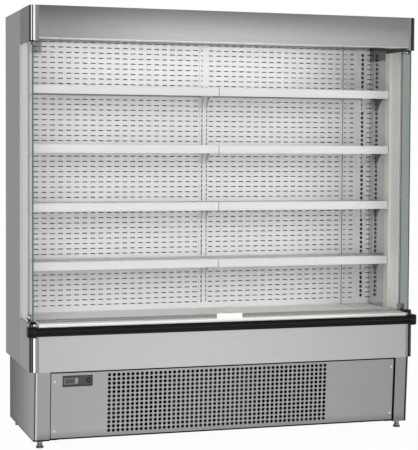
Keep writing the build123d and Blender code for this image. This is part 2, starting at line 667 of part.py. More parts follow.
def motor_on_strut(place, radius, reach, motor_radius):
    """Fan motor behind a wheel that ends `reach` behind the ring: strut, motor and shaft."""
    x, y, z = place
    bar = motor_radius / 2
    end = radius + FAN_GAP + 2 * STRUT
    seat = y + reach + FAN_SEAT
    mount = block(x - bar, x + bar, seat, seat + STRUT, z - end, z + end)
    for side in (-1, 1):
        leg = z + side * (end - STRUT / 2)
        mount += block(x - bar, x + bar, y, seat + STRUT, leg - STRUT / 2, leg + STRUT / 2)
    behind = Pos(x, seat + STRUT, z) * Rot(-90, 0, 0)
    ahead = Pos(x, seat, z) * Rot(90, 0, 0)
    mount += behind * extrude(RegularPolygon(motor_radius, 12), amount=motor_radius * 1.3)
    return mount + ahead * extrude(Circle(FAN_SHAFT), amount=FAN_BORE)


def blade_wheel(radius, hub, width):
    """Stamped axial fan wheel, axis along Y: pitched flat blades on a hub bored for its shaft."""
    wheel = Rot(90, 0, 0) * Cylinder(hub, width)
    root = hub * 0.9
    reach = sin(radians(FAN_PITCH))
    half_root = min(hub * 0.8, width * 0.45 / reach)
    half_tip = width * 0.45 / reach
    outline = [(root, -half_root), (radius * 0.8, -half_tip), (radius * 0.93, -half_tip * 0.5),
               (radius * 0.93, half_tip), (root, half_root)]
    blade = Rot(90 - FAN_PITCH, 0, 0) * along_z(outline, -FAN_BLADE / 2, FAN_BLADE / 2)
    for index in range(FAN_BLADES):
        wheel += Rot(0, index * 360 / FAN_BLADES, 0) * blade
    bore = Pos(0, width / 2, 0) * Rot(90, 0, 0) * Cylinder(FAN_SHAFT + SHAFT_FIT, 2 * FAN_BORE)
    return wheel - bore


def evaporator_fan(side):
    """Fan wheel behind its ring in the fan plate."""
    wheel = blade_wheel(EVAP_FAN_RADIUS, EVAP_FAN_HUB, EVAP_FAN_WIDTH)
    return Pos(*evaporator_fan_place(side)) * Pos(0, EVAP_FAN_WIDTH / 2, 0) * wheel


def fin_block(length, depth, height, fins, groove):
    """Finned heat exchanger, fins across X, grooves cut into both faces."""
    core = Box(length, depth, height)
    pitch = length / fins
    for index in range(1, fins):
        x = -length / 2 + index * pitch
        for side in (-1, 1):
            core -= Pos(x, side * depth / 2, 0) * Box(pitch * 0.6, groove * 2, height + 2)
    return core


def bends(x, y0, y1, z0, z1, rows, tube):
    """Return bends on one end of a heat exchanger: flat hairpins with mitred corners."""
    pitch = (z1 - z0) / rows
    reach = (y1 - y0) / 4
    slope = reach * 1.4
    line = [(x, y0 + reach), (x + reach, y0 + slope), (x + reach, y1 - slope), (x, y1 - reach)]
    hairpins = []
    for index in range(rows):
        z = z0 + (index + 0.5) * pitch
        hairpins.append(along_z(folded(line, tube), z - tube / 2, z + tube / 2))
    return hairpins


def evaporator_coil():
    """Evaporator coil on the tub floor, its three end plates tall enough to carry the deck."""
    low = TUB_FLOOR_Z + COIL_LIFT
    y1 = COIL_Y + COIL_DEPTH
    fins = fin_block(COIL_LENGTH, COIL_DEPTH, COIL_HEIGHT, COIL_FINS, COIL_GROOVE)
    coil = Pos(0, (COIL_Y + y1) / 2, low + COIL_HEIGHT / 2) * fins
    for x in (-COIL_LENGTH / 2, 0, COIL_LENGTH / 2):
        coil += block(x - COIL_PLATE / 2, x + COIL_PLATE / 2, COIL_Y - 2 * COIL_PLATE,
                      y1 + 2 * COIL_PLATE, TUB_FLOOR_Z, NOSE_Z)
    for bend in bends(COIL_LENGTH / 2, COIL_Y, y1, low, low + COIL_HEIGHT, 2, COIL_TUBE):
        coil += bend
    return coil


def canopy_lining():
    """Ceiling lining between the air outlet and the back panels, its front edge folded up."""
    y0 = HONEYCOMB_FRONT + HONEYCOMB_DEPTH + FIT
    line = [(y0, LINING_Z + LINING_RISE), (y0, LINING_Z), (BACK_Y + UPRIGHT_DEPTH, LINING_Z)]
    return along_x(folded(line, SHEET), -IN_X, IN_X)


def air_honeycomb():
    """Air outlet grid behind the lamp."""
    z0 = HEADER_Z + LINING_RISE / 4
    y1 = HONEYCOMB_FRONT + HONEYCOMB_DEPTH
    grid_block = block(-IN_X, IN_X, HONEYCOMB_FRONT, y1, z0, z0 + HONEYCOMB_HEIGHT)
    pitch = 2 * (IN_X - HONEYCOMB_RIM) / HONEYCOMB_CELLS
    half = (pitch - HONEYCOMB_WEB) / 2
    for index in range(HONEYCOMB_CELLS):
        x = -IN_X + HONEYCOMB_RIM + (index + 0.5) * pitch
        grid_block -= block(x - half, x + half, HONEYCOMB_FRONT + HONEYCOMB_RIM, y1 - HONEYCOMB_RIM,
                            z0 - 1, z0 + HONEYCOMB_HEIGHT + 1)
    return grid_block


def lamp():
    """LED lamp housing with a half-round diffuser, lying on the canopy front's lower fold."""
    z0 = HEADER_Z + SHEET
    y0 = SHEET + LAMP_FROM_FRONT
    x1 = IN_X - LAMP_FROM_END
    housing = block(-x1, x1, y0, y0 + LAMP_SECTION, z0, z0 + LAMP_SECTION)
    tube = Pos(0, y0 + LAMP_SECTION, z0 + LAMP_SECTION / 2) * Rot(0, 90, 0)
    return housing + tube * Cylinder(LAMP_SECTION * 0.44, 2 * x1 - LAMP_SECTION)


# ---- plinth ------------------------------------------------------------------------------------
def plinth_plan(z, front):
    """Plan of the right-hand plinth end at one height: screw lug, post, round, side, rear return."""
    side = PLINTH_X
    post = side - POST_WIDTH
    lug = front + PANEL_EDGE / cos(radians(LEAN)) + LUG_GAP
    bend = side - PLINTH_RADIUS
    back = side - PLINTH_RETURN
    inner = side - SHEET
    rear = PLINTH_REAR_Y
    with BuildSketch(Plane.XY.offset(z)) as sketch:
        with BuildLine():
            Polyline((post - LUG_WIDTH, lug + SHEET), (post - LUG_WIDTH, lug), (post, lug), (post, front),
                     (bend, front))
            RadiusArc((bend, front), (side, front + PLINTH_RADIUS), -PLINTH_RADIUS)
            Polyline((side, front + PLINTH_RADIUS), (side, rear), (back, rear), (back, rear - SHEET),
                     (inner, rear - SHEET), (inner, front + PLINTH_RADIUS))
            RadiusArc((inner, front + PLINTH_RADIUS), (bend, front + SHEET), PLINTH_RADIUS - SHEET)
            Polyline((bend, front + SHEET), (post + SHEET, front + SHEET), (post + SHEET, lug + SHEET),
                     (post - LUG_WIDTH, lug + SHEET))
        make_face()
    return sketch.sketch


def plinth_end():
    """Plinth end sheet with its rounded front post that leans back to the floor."""
    low = plinth_plan(FOOT_HEIGHT, PLINTH_SETBACK + PLINTH_LEAN)
    high = plinth_plan(TUB_Z - SHEET, PLINTH_SETBACK)
    sheet = loft([low, high], ruled=True)
    for x, z in screw_places():
        if x > 0:
            sheet -= leaning(Pos(x, 0, z) * screw_hole(PANEL_EDGE + 4 * SHEET))
    return sheet


def panel_span():
    """Lower and upper edge of the grille panel, in the upright plane it is drawn in."""
    return FOOT_HEIGHT + PANEL_GAP, TUB_Z - SHEET - PANEL_GAP


def control_place():
    """Middle of the control recess in the panel's own plane."""
    x = -PANEL_X + CONTROL_FROM_POST + CONTROL_WIDTH / 2
    z = TUB_Z - CONTROL_FROM_TOP - CONTROL_HEIGHT / 2
    return x, z


def vent_middle():
    """Middle of the field of vent holes in the panel's own plane."""
    x = control_place()[0] + CONTROL_WIDTH / 2 + VENT_FROM_CONTROL
    x += (VENT_COLUMNS - 1) / 2 * VENT_PITCH_X
    z = TUB_Z - VENT_FROM_TOP - (VENT_ROWS - 1) / 2 * VENT_PITCH_Z
    return x, z


def grille_panel():
    """Front panel of the machine compartment: folded edges, control cut-out and vent holes."""
    z0, z1 = panel_span()
    panel = block(-PANEL_X, PANEL_X, 0, PANEL_EDGE, z0, z1)
    panel -= block(-PANEL_X + SHEET, PANEL_X - SHEET, SHEET, PANEL_EDGE + 1, z0 + SHEET, z1 - SHEET)
    cx, cz = control_place()
    window = Pos(cx, 0, cz) * Box(CONTROL_WIDTH, 8, CONTROL_HEIGHT)
    window = fillet(window.edges().filter_by(Axis.Y), 5)
    panel -= window
    vx, vz = vent_middle()
    hole = Box(VENT_SIZE, 6 * SHEET, VENT_SIZE)
    panel -= [Pos(vx + dx, 0, vz + dz) * hole
              for dx, dz in grid(VENT_COLUMNS, VENT_ROWS, VENT_PITCH_X, VENT_PITCH_Z)]
    for x, z in screw_places():
        panel -= Pos(x, 0, z) * screw_hole(2 * SHEET)
    return leaning(panel)


def screw_places():
    """Screws near the panel's four corners."""
    z0, z1 = panel_span()
    for x in (-PANEL_X + SCREW_FROM_EDGE, PANEL_X - SCREW_FROM_EDGE):
        for z in (z0 + SCREW_FROM_TOP, z1 - SCREW_FROM_TOP):
            yield x, z


def screw_hole(depth):
    """Clearance hole for a screw's shank, both ways from the panel's face."""
    return Rot(90, 0, 0) * extrude(RegularPolygon(SCREW_HEAD / 2 + SCREW_FIT, 8), amount=depth, both=True)


def panel_screws():
    """Hexagon-headed screws that hold the grille panel, their shanks running back through it."""
    screws = []
    for x, z in screw_places():
        place = Pos(x, 0, z) * Rot(90, 0, 0)
        head = place * extrude(RegularPolygon(SCREW_HEAD, 6), amount=SCREW_HEAD_HEIGHT)
        shank = place * extrude(RegularPolygon(SCREW_HEAD / 2, 8), amount=-SCREW_LENGTH)
        screws.append(leaning(head + shank))
    return screws


def control_plate():
    """Recessed plate behind the cut-out, with the openings for thermostat and switch."""
    cx, cz = control_place()
    half_w = CONTROL_WIDTH / 2
    half_h = CONTROL_HEIGHT / 2
    y0 = SHEET
    y1 = CONTROL_RECESS
    rim = 8
    plate = block(cx - half_w - rim, cx + half_w + rim, y0, y1 + 2, cz - half_h - rim, cz + half_h + rim)
    plate -= block(cx - half_w, cx + half_w, y0 - 1, y1, cz - half_h, cz + half_h)
    tx, tz = thermostat_place()
    plate -= Pos(tx, y1, tz) * Box(THERMOSTAT[0] - 2 * BEZEL + 1, 20, THERMOSTAT[2] - 2 * BEZEL + 1)
    sx, sz = switch_place()
    plate -= Pos(sx, y1, sz) * Rot(90, 0, 0) * Cylinder(SWITCH_RADIUS - 1, 20)
    return leaning(plate)


def thermostat_place():
    """Middle of the thermostat."""
    cx, cz = control_place()
    return cx - CONTROL_WIDTH / 2 + THERMOSTAT[0] / 2 + 4, cz


def switch_place():
    """Middle of the round switch."""
    cx, cz = control_place()
    return cx + CONTROL_WIDTH / 2 - SWITCH_RADIUS - 8, cz


def button_places():
    """Middles of the thermostat's buttons, one above the other at its right."""
    tx, tz = thermostat_place()
    x = tx + THERMOSTAT[0] / 2 - BEZEL - BUTTON[0] / 2 - 3
    for index in range(BUTTONS):
        yield x, tz + (index - (BUTTONS - 1) / 2) * (BUTTON[1] + 2)


def thermostat():
    """Digital thermostat: bezel, display window and a body that reaches through the plate."""
    tx, tz = thermostat_place()
    width, depth, height = THERMOSTAT
    y0 = CONTROL_RECESS - BEZEL
    bezel = block(tx - width / 2, tx + width / 2, y0, CONTROL_RECESS, tz - height / 2, tz + height / 2)
    front = [e for e in bezel.edges().filter_by(Axis.Y)]
    bezel = fillet(front, 3)
    body = block(tx - width / 2 + BEZEL, tx + width / 2 - BEZEL, CONTROL_RECESS - 1, CONTROL_RECESS + depth,
                 tz - height / 2 + BEZEL, tz + height / 2 - BEZEL)
    unit = bezel + body
    unit -= block(tx - width / 2 + 7, tx + width / 2 - 22, y0 - 1, y0 + 1, tz - height / 2 + 5,
                  tz + height / 2 - 5)
    for x, z in button_places():
        unit -= Pos(x, y0, z) * Box(BUTTON[0] + 2 * BUTTON_FIT, 2 * BUTTON_DEPTH, BUTTON[1] + 2 * BUTTON_FIT)
    return leaning(unit)


def thermostat_button(place):
    """Sprung key of the thermostat, rounded at its corners."""
    x, z = place
    face = CONTROL_RECESS - BEZEL
    y0 = face - BUTTON_PROUD
    y1 = face + BUTTON_DEPTH - BUTTON_TRAVEL - BUTTON_FIT
    key = block(x - BUTTON[0] / 2, x + BUTTON[0] / 2, y0, y1, z - BUTTON[1] / 2, z + BUTTON[1] / 2)
    return leaning(chamfer(key.edges().filter_by(Axis.Y), BUTTON_CORNER))


def switch_bezel():
    """Round snap-in housing of the mains switch, with the pocket its rocker moves in."""
    x, z = switch_place()
    face = CONTROL_RECESS
    collar = Pos(x, face - SWITCH_COLLAR / 2, z) * Rot(90, 0, 0) * Cylinder(SWITCH_RADIUS, SWITCH_COLLAR)
    barrel = Pos(x, face + SWITCH_DEPTH / 2 - 1, z) * Rot(90, 0, 0)
    barrel *= Cylinder(SWITCH_RADIUS - 1.2, SWITCH_DEPTH)
    width, depth, height = ROCKER
    pocket = Pos(x, face, z) * Box(width + 2 * ROCKER_FIT, 4 * depth, height + 2 * ROCKER_FIT)
    return leaning(collar + barrel - pocket)


def rocker_place():
    """Pivot of the rocker, in the panel's own plane."""
    x, z = switch_place()
    return x, CONTROL_RECESS - 1.6, z


def switch_rocker():
    """Rocker with a shallow V face, drawn tipped to its off position about an upright pivot."""
    width, depth, height = ROCKER
    half = width / 2
    rise = half * tan(radians(ROCKER_TILT / 2))
    outline = [(-half, -rise), (0, 0), (half, -rise), (half * 0.6, depth), (-half * 0.6, depth)]
    rocker = along_z(outline, -height / 2, height / 2)
    return leaning(Pos(*rocker_place()) * Rot(0, 0, ROCKER_TILT / 2) * rocker)


def rear_vent_panel():
    """Rear cover of the machine compartment with rows of air slots."""
    z0 = FOOT_HEIGHT + PANEL_GAP
    z1 = TUB_Z - PANEL_GAP
    x1 = PLINTH_X - PLINTH_RETURN - FIT
    panel = block(-x1, x1, PLINTH_REAR_Y - SHEET, PLINTH_REAR_Y, z0, z1)
    slot = Box(REAR_SLOT[0], 6 * SHEET, REAR_SLOT[1])
    for side in (-1, 1):
        for dx, dz in grid(2, REAR_SLOT_ROWS, *REAR_SLOT_PITCH):
            panel -= Pos(side * x1 / 2 + dx, PLINTH_REAR_Y, (z0 + z1) / 2 + dz) * slot
    return panel


# ---- frame, feet and refrigeration unit --------------------------------------------------------
def frame_span():
    """Outside of the base frame."""
    front = PLINTH_SETBACK + PLINTH_LEAN + PANEL_EDGE + FRAME_BEHIND_PANEL
    return PLINTH_X - SHEET - FRAME_INSET, front, PLINTH_REAR_Y - SHEET - FRAME_INSET


def base_frame():
    """Welded base: rim, two cross rails, corner posts, floor sheet and foot bushes."""
    x1, y0, y1 = frame_span()
    z0 = FOOT_HEIGHT + SHEET
    z1 = z0 + FRAME_HEIGHT
    wall = FRAME_WALL
    frame = block(-x1, x1, y0, y1, z0, z1)
    frame -= block(-x1 + wall, x1 - wall, y0 + wall, y1 - wall, z0 - 1, z1 + 1)
    frame += block(-x1 + wall, x1 - wall, y0 + wall, y1 - wall, z1 - FLOOR_SHEET, z1 + FLOOR_SHEET)
    high = y1 - FRAME_BAR
    for side in (-1, 1):
        x = side * CROSS_RAIL_X
        frame += block(x - wall, x + wall, y0, y1, z0, z1)
    for y in (y0, high):
        post = block(x1 - FRAME_BAR, x1, y, y + FRAME_BAR, z1, TUB_Z)
        post -= block(x1 - FRAME_BAR + wall, x1 - wall, y + wall, y + FRAME_BAR - wall, z1, TUB_Z + 1)
        for side in both_ends(post):
            frame += side
    for x, y in foot_places():
        frame += Pos(x, y, (z0 + z1) / 2) * Box(FRAME_BAR / 2, FRAME_BAR / 2, FRAME_HEIGHT)
        frame -= Pos(x, y, z0) * Cylinder(FOOT_STEM_RADIUS + SHAFT_FIT, 4 * FOOT_STEM_LENGTH)
    return frame


def foot_places():
    """The four levelling feet: front left, front right, rear left, rear right."""
    for y in (FOOT_FROM_FRONT, PLINTH_REAR_Y - FOOT_FROM_REAR):
        for x in (-OUT_X + FOOT_FROM_END, OUT_X - FOOT_FROM_END):
            yield x, y


def foot(place):
    """Levelling foot: pad, waist, neck under the frame and the stem that screws into it."""
    pad = RegularPolygon(FOOT_PAD_RADIUS, FOOT_SIDES)
    neck = RegularPolygon(FOOT_NECK_RADIUS, FOOT_SIDES)
    waist = 1.5 * FOOT_PAD_HEIGHT
    base = extrude(pad, amount=FOOT_PAD_HEIGHT)
    base += loft([Pos(0, 0, FOOT_PAD_HEIGHT) * pad, Pos(0, 0, waist) * neck], ruled=True)
    base += extrude(Pos(0, 0, waist) * neck, amount=FOOT_HEIGHT + SHEET - waist)
    base += extrude(Pos(0, 0, waist) * RegularPolygon(FOOT_STEM_RADIUS, FOOT_SIDES), amount=FOOT_STEM_LENGTH)
    return Pos(*place, 0) * base


def condenser():
    """Finned condenser behind the vent holes, standing on the floor sheet."""
    length, depth, height = CONDENSER
    y0 = CONDENSER_SETBACK
    fins = fin_block(length, depth, height, CONDENSER_FINS, CONDENSER_GROOVE)
    core = Pos(CONDENSER_X, y0 + depth / 2, FLOOR_Z + height / 2) * fins
    end = CONDENSER_X + length / 2
    for bend in bends(end, y0, y0 + depth, FLOOR_Z, FLOOR_Z + height, 4, CONDENSER_TUBE):
        core += bend
    return core


def fan_centre():
    """Middle of the condenser fan wheel, in the plane of its ring."""
    y = CONDENSER_SETBACK + CONDENSER[1] + SHROUD_DEPTH
    return CONDENSER_X, y, FLOOR_Z + CONDENSER[2] / 2


def condenser_shroud():
    """Sheet shroud on the back of the condenser with the fan ring, and the fan motor on its strut."""
    length, _, height = CONDENSER
    x, y1, z = fan_centre()
    y0 = y1 - SHROUD_DEPTH
    box = block(x - length / 2, x + length / 2, y0, y1, FLOOR_Z, FLOOR_Z + height)
    box -= block(x - length / 2 + SHEET, x + length / 2 - SHEET, y0 - 1, y1 - SHEET, FLOOR_Z + SHEET,
                 FLOOR_Z + height - SHEET)
    box -= Pos(x, y1, z) * Rot(90, 0, 0) * Cylinder(FAN_RADIUS + FAN_GAP, 6 * SHEET)
    return [box, motor_on_strut((x, y1, z), FAN_RADIUS, FAN_WIDTH / 2, FAN_MOTOR_RADIUS)]


def condenser_fan():
    """Condenser fan wheel in its ring."""
    return Pos(*fan_centre()) * blade_wheel(FAN_RADIUS, FAN_HUB, FAN_WIDTH)


def compressor():
    """Hermetic compressor: revolved pot, foot plate on four rubber feet, terminal box, pipe stubs."""
    r = COMPRESSOR_RADIUS
    h = COMPRESSOR_HEIGHT
    half = [(0, h * 0.07), (r * 0.85, h * 0.07), (r, h * 0.22), (r, h * 0.7), (r * 0.7, h * 0.94), (0, h)]
    pot = revolve(make_face(Plane.XZ * Polyline(*half, close=True)), Axis.Z)
    plate = Box(2.4 * r, 1.7 * r, h * 0.02)
    pot += Pos(0, 0, h * 0.06) * chamfer(plate.edges().filter_by(Axis.Z), r / 6)
    rubber = extrude(RegularPolygon(r / 8, 8), amount=h * 0.05)
    for x in (-1, 1):
        for y in (-1, 1):
            pot += Pos(x * r * 1.05, y * r * 0.7, 0) * rubber
    pot += Pos(0, -r, h * 0.5) * Box(r * 0.7, r * 0.5, h * 0.3)
    pipe = Rot(90, 0, 0) * extrude(RegularPolygon(r / 16, 8), amount=r * 0.9)
    for side in (-1, 1):
        pot += Pos(side * r * 0.55, r * 1.3, h * (0.56 - side * 0.06)) * pipe
    return Pos(OUT_X - COMPRESSOR_FROM_END, DEPTH - COMPRESSOR_FROM_REAR, FLOOR_Z) * pot


def condensate_tray():
    """Open tray that catches and evaporates the defrost water."""
    length, height = TRAY
    y0 = ELECTRIC_FROM_FRONT + ELECTRIC_BOX[1] / 2 + TRAY_BEHIND_BOX
    width = DEPTH - TRAY_FROM_REAR - y0
    tray = Box(length, width, height)
    tray = fillet(tray.edges().filter_by(Axis.Z), TRAY_RADIUS)
    inner = Pos(0, 0, TRAY_WALL) * Box(length - 2 * TRAY_WALL, width - 2 * TRAY_WALL, height)
    tray -= fillet(inner.edges().filter_by(Axis.Z), TRAY_RADIUS - TRAY_WALL)
    return Pos(TRAY_FROM_END - OUT_X, y0 + width / 2, FLOOR_Z + height / 2) * tray


def electrical_box():
    """Terminal box of the machine compartment with its cable glands."""
    width, depth, height = ELECTRIC_BOX
    box = Box(width, depth, height)
    box = chamfer(box.edges().filter_by(Axis.Z), ELECTRIC_EDGE)
    gland = Rot(90, 0, 0) * extrude(RegularPolygon(GLAND_RADIUS, 6), amount=GLAND_LENGTH)
    for step in (-1, 0, 1):
        box += Pos(step * GLAND_PITCH, -depth / 2, GLAND_FROM_BASE - height / 2) * gland
    return Pos(ELECTRIC_FROM_END - OUT_X, ELECTRIC_FROM_FRONT, FLOOR_Z + height / 2) * box


# ---- write every node --------------------------------------------------------------------------
os.makedirs("parts", exist_ok=True)
save("base_frame", base_frame())
save("plinth_ends", *both_ends(plinth_end()))
save("rear_vent_panel", rear_vent_panel())
save("grille_panel", grille_panel())
save("panel_screws", *panel_screws())
save("control_plate", control_plate())
save("thermostat", thermostat())
for name, place in zip(("down", "set", "up"), button_places()):
    save(f"thermostat_button_{name}", thermostat_button(place))
save("switch_bezel", switch_bezel())
save("switch_rocker", switch_rocker())
save("lower_front_panel", lower_front_panel())
save("lower_corners", *both_ends(corner(TUB_Z, DECK_Z)))
save("lower_cheeks", *both_ends(lower_cheek()))
save("tub", tub())
save("nose_strip", nose_strip(), price_plate())
save("bumper", bumper())
save("bumper_caps", *both_ends(bumper_cap()), *both_ends(glass_shoe()))
save("return_grille", return_grille())
save("deck_left", deck(-1))
save("deck_right", deck(1))
save("rear_wall", rear_wall())
end_walls = both_ends(end_wall())
save("end_wall_right", end_walls[0])
save("end_wall_left", end_walls[1])
save("glass_channels", *both_ends(glass_channel()))
save("end_glasses", *both_ends(end_glass()))
save("glass_clips", *glass_clips())
save("roof", roof())
save("header_front", header_front())
save("header_corners", *both_ends(corner(CANOPY_END_Z, HEIGHT)))
save("canopy_ends", *both_ends(canopy_end()))
save("canopy_lining", canopy_lining())
save("air_honeycomb", air_honeycomb())
save("lamp", lamp())
save("back_panels", *back_panels())
save("uprights", *uprights())
save("shelf_brackets", *shelf_brackets())
for row in range(SHELF_ROWS):
    save(f"shelf_{row + 1}_left", *shelf(-1, row))
    save(f"shelf_{row + 1}_right", *shelf(1, row))
save("evaporator_coil", evaporator_coil())
save("fan_plate", *fan_plate())
save("evaporator_fan_left", evaporator_fan(-1))
save("evaporator_fan_right", evaporator_fan(1))
save("compressor", compressor())
save("condenser", condenser())
save("condenser_shroud", *condenser_shroud())
save("condenser_fan", condenser_fan())
save("electrical_box", electrical_box())
save("condensate_tray", condensate_tray())
for name, place in zip(("front_left", "front_right", "rear_left", "rear_right"), foot_places()):
    save(f"foot_{name}", foot(place))
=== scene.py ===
from math import atan2, cos, pi, radians, sin

import bpy
import numpy as np
from mathutils import Matrix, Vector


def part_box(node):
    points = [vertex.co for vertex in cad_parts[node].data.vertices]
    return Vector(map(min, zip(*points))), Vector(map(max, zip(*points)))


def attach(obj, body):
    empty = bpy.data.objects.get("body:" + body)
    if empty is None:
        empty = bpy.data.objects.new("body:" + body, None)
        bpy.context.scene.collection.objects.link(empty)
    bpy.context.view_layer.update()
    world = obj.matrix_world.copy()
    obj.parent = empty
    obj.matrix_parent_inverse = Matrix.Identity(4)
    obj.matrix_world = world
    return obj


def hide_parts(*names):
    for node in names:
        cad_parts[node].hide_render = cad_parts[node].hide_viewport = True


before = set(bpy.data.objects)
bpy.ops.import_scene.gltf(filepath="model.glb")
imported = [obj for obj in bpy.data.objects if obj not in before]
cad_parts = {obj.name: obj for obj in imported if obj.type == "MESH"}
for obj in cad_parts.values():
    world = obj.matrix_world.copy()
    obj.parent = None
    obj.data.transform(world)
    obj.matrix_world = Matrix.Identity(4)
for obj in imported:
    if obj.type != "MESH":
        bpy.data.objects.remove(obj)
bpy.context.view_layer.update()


# ---- studio -------------------------------------------------------------------------------------
# A white floor that keeps the cabinet's shadow, soft square lamps at a plain level, and the camera
# at the photograph's place. Each finish is a Look: constants sit on its shader's own sockets, and
# what varies over a surface is worked out from the piece's own coordinates with Wires.
class Wire:
    """A number or a socket of one material; arithmetic on it adds Math nodes to that material."""

    def __init__(self, look, value):
        self.look = look
        self.value = value

    def math(self, kind, *others):
        node = self.look.tree.nodes.new("ShaderNodeMath")
        node.operation = kind
        for socket, value in zip(node.inputs, (self,) + others):
            self.look.plug(socket, value)
        return Wire(self.look, node.outputs[0])

    def __add__(self, other):
        return self.math("ADD", other)

    def __sub__(self, other):
        return self.math("SUBTRACT", other)

    def __rsub__(self, other):
        return Wire(self.look, other).math("SUBTRACT", self)

    def __mul__(self, other):
        return self.math("MULTIPLY", other)

    def __truediv__(self, other):
        return self.math("DIVIDE", other)

    __radd__ = __add__
    __rmul__ = __mul__

    def size(self):
        return self.math("ABSOLUTE")

    def above(self, limit):
        return self.math("GREATER_THAN", limit)

    def below(self, limit):
        return self.math("LESS_THAN", limit)

    def wave(self, pitch):
        """A ridge line that goes from 0 to 1 and back once in each pitch."""
        return (self / pitch).math("FRACT").math("PINGPONG", 0.5) * 2.0

    def ease(self, low, high):
        """0 up to low, 1 from high on, and a smooth step between them."""
        node = self.look.add("ShaderNodeMapRange", interpolation_type="SMOOTHSTEP")
        self.look.plug(node.inputs["Value"], self)
        self.look.plug(node.inputs["From Min"], low)
        self.look.plug(node.inputs["From Max"], high)
        return Wire(self.look, node.outputs["Result"])


class Graph:
    """A node tree that is being filled."""

    def __init__(self, owner):
        owner.use_nodes = True
        self.tree = owner.node_tree
        self.tree.nodes.clear()

    def add(self, kind, **settings):
        node = self.tree.nodes.new(kind)
        for setting, value in settings.items():
            setattr(node, setting, value)
        return node

    def plug(self, socket, value):
        if isinstance(value, Wire) and not isinstance(value.value, (int, float)):
            self.tree.links.new(value.value, socket)
        else:
            socket.default_value = value.value if isinstance(value, Wire) else value

    def place(self, space="Object"):
        """The piece's own X, Y and Z, in metres."""
        where = self.add("ShaderNodeTexCoord").outputs[space]
        parts = self.add("ShaderNodeSeparateXYZ")
        self.tree.links.new(where, parts.inputs[0])
        return [Wire(self, parts.outputs[axis]) for axis in "XYZ"]


class Look(Graph):
    """A procedural finish. Colours are sRGB numbers from 0 to 255."""

    def __init__(self, name, colour, roughness, metallic=0.0, **constants):
        self.material = bpy.data.materials.new(name)
        super().__init__(self.material)
        self.shader = self.even(colour, roughness, metallic, **constants)
        self.output = self.add("ShaderNodeOutputMaterial")
        self.tree.links.new(self.shader.outputs[0], self.output.inputs["Surface"])

    def even(self, colour, roughness, metallic=0.0, **constants):
        """A shader whose sockets are all constant so far."""
        shader = self.add("ShaderNodeBsdfPrincipled")
        shader.inputs["Base Color"].default_value = self.linear(colour)
        shader.inputs["Roughness"].default_value = roughness
        shader.inputs["Metallic"].default_value = metallic
        for socket, value in constants.items():
            shader.inputs[socket.replace("_", " ")].default_value = value
        return shader

    def over(self, factor, top):
        """Another shader shows in the finish's place where factor is 1; calls add up."""
        both = self.add("ShaderNodeMixShader")
        surface = self.output.inputs["Surface"]
        self.plug(both.inputs[0], factor)
        self.tree.links.new(surface.links[0].from_socket, both.inputs[1])
        self.tree.links.new(top.outputs[0], both.inputs[2])
        self.tree.links.new(both.outputs[0], surface)

    @staticmethod
    def linear(colour):
        levels = np.asarray(colour, float) / 255
        low = levels / 12.92
        high = ((levels + 0.055) / 1.055) ** 2.4
        return (*np.where(levels <= 0.04045, low, high), 1.0)

    def set(self, socket, value):
        self.plug(self.shader.inputs[socket], value)

    def got(self, socket):
        """What feeds a socket of the shader now."""
        return Wire(self, self.shader.inputs[socket].links[0].from_socket)

    def noise(self, scale, detail=2.0):
        """Noise from 0 to 1 with a separate number of grains a metre along X, Y and Z."""
        where = self.add("ShaderNodeTexCoord").outputs["Object"]
        stretch = self.add("ShaderNodeVectorMath", operation="MULTIPLY")
        self.tree.links.new(where, stretch.inputs[0])
        stretch.inputs[1].default_value = scale
        grain = self.add("ShaderNodeTexNoise")
        self.tree.links.new(stretch.outputs[0], grain.inputs["Vector"])
        grain.inputs["Scale"].default_value = 1.0
        grain.inputs["Detail"].default_value = detail
        return Wire(self, grain.outputs["Fac"])

    def mix(self, factor, low, high):
        """A colour between two others."""
        node = self.add("ShaderNodeMix", data_type="RGBA")
        self.plug(node.inputs["Factor"], factor)
        node.inputs[6].default_value = self.linear(low)
        node.inputs[7].default_value = self.linear(high)
        return Wire(self, node.outputs[2])

    def shade(self, factor, colour):
        """The base colour goes over to another one with factor; calls add up."""
        base = self.shader.inputs["Base Color"]
        node = self.add("ShaderNodeMix", data_type="RGBA")
        self.plug(node.inputs["Factor"], factor)
        if base.is_linked:
            self.tree.links.new(base.links[0].from_socket, node.inputs[6])
        else:
            node.inputs[6].default_value = base.default_value
        node.inputs[7].default_value = self.linear(colour)
        self.tree.links.new(node.outputs[2], base)

    def bump(self, height, distance):
        """Relief: height from 0 to 1 stands for that many metres."""
        node = self.add("ShaderNodeBump")
        self.plug(node.inputs["Height"], height)
        node.inputs["Distance"].default_value = distance
        node.inputs["Strength"].default_value = 1.0
        normal = self.shader.inputs["Normal"]
        if normal.is_linked:
            self.tree.links.new(normal.links[0].from_socket, node.inputs["Normal"])
        self.tree.links.new(node.outputs["Normal"], normal)

    def on(self, *names):
        """Puts the finish on CAD nodes and on pieces made here."""
        for name in names:
            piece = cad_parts.get(name) or bpy.data.objects[name]
            if not piece.data.materials:
                piece.data.materials.append(self.material)
            for slot in piece.material_slots:
                slot.material = self.material
        return self


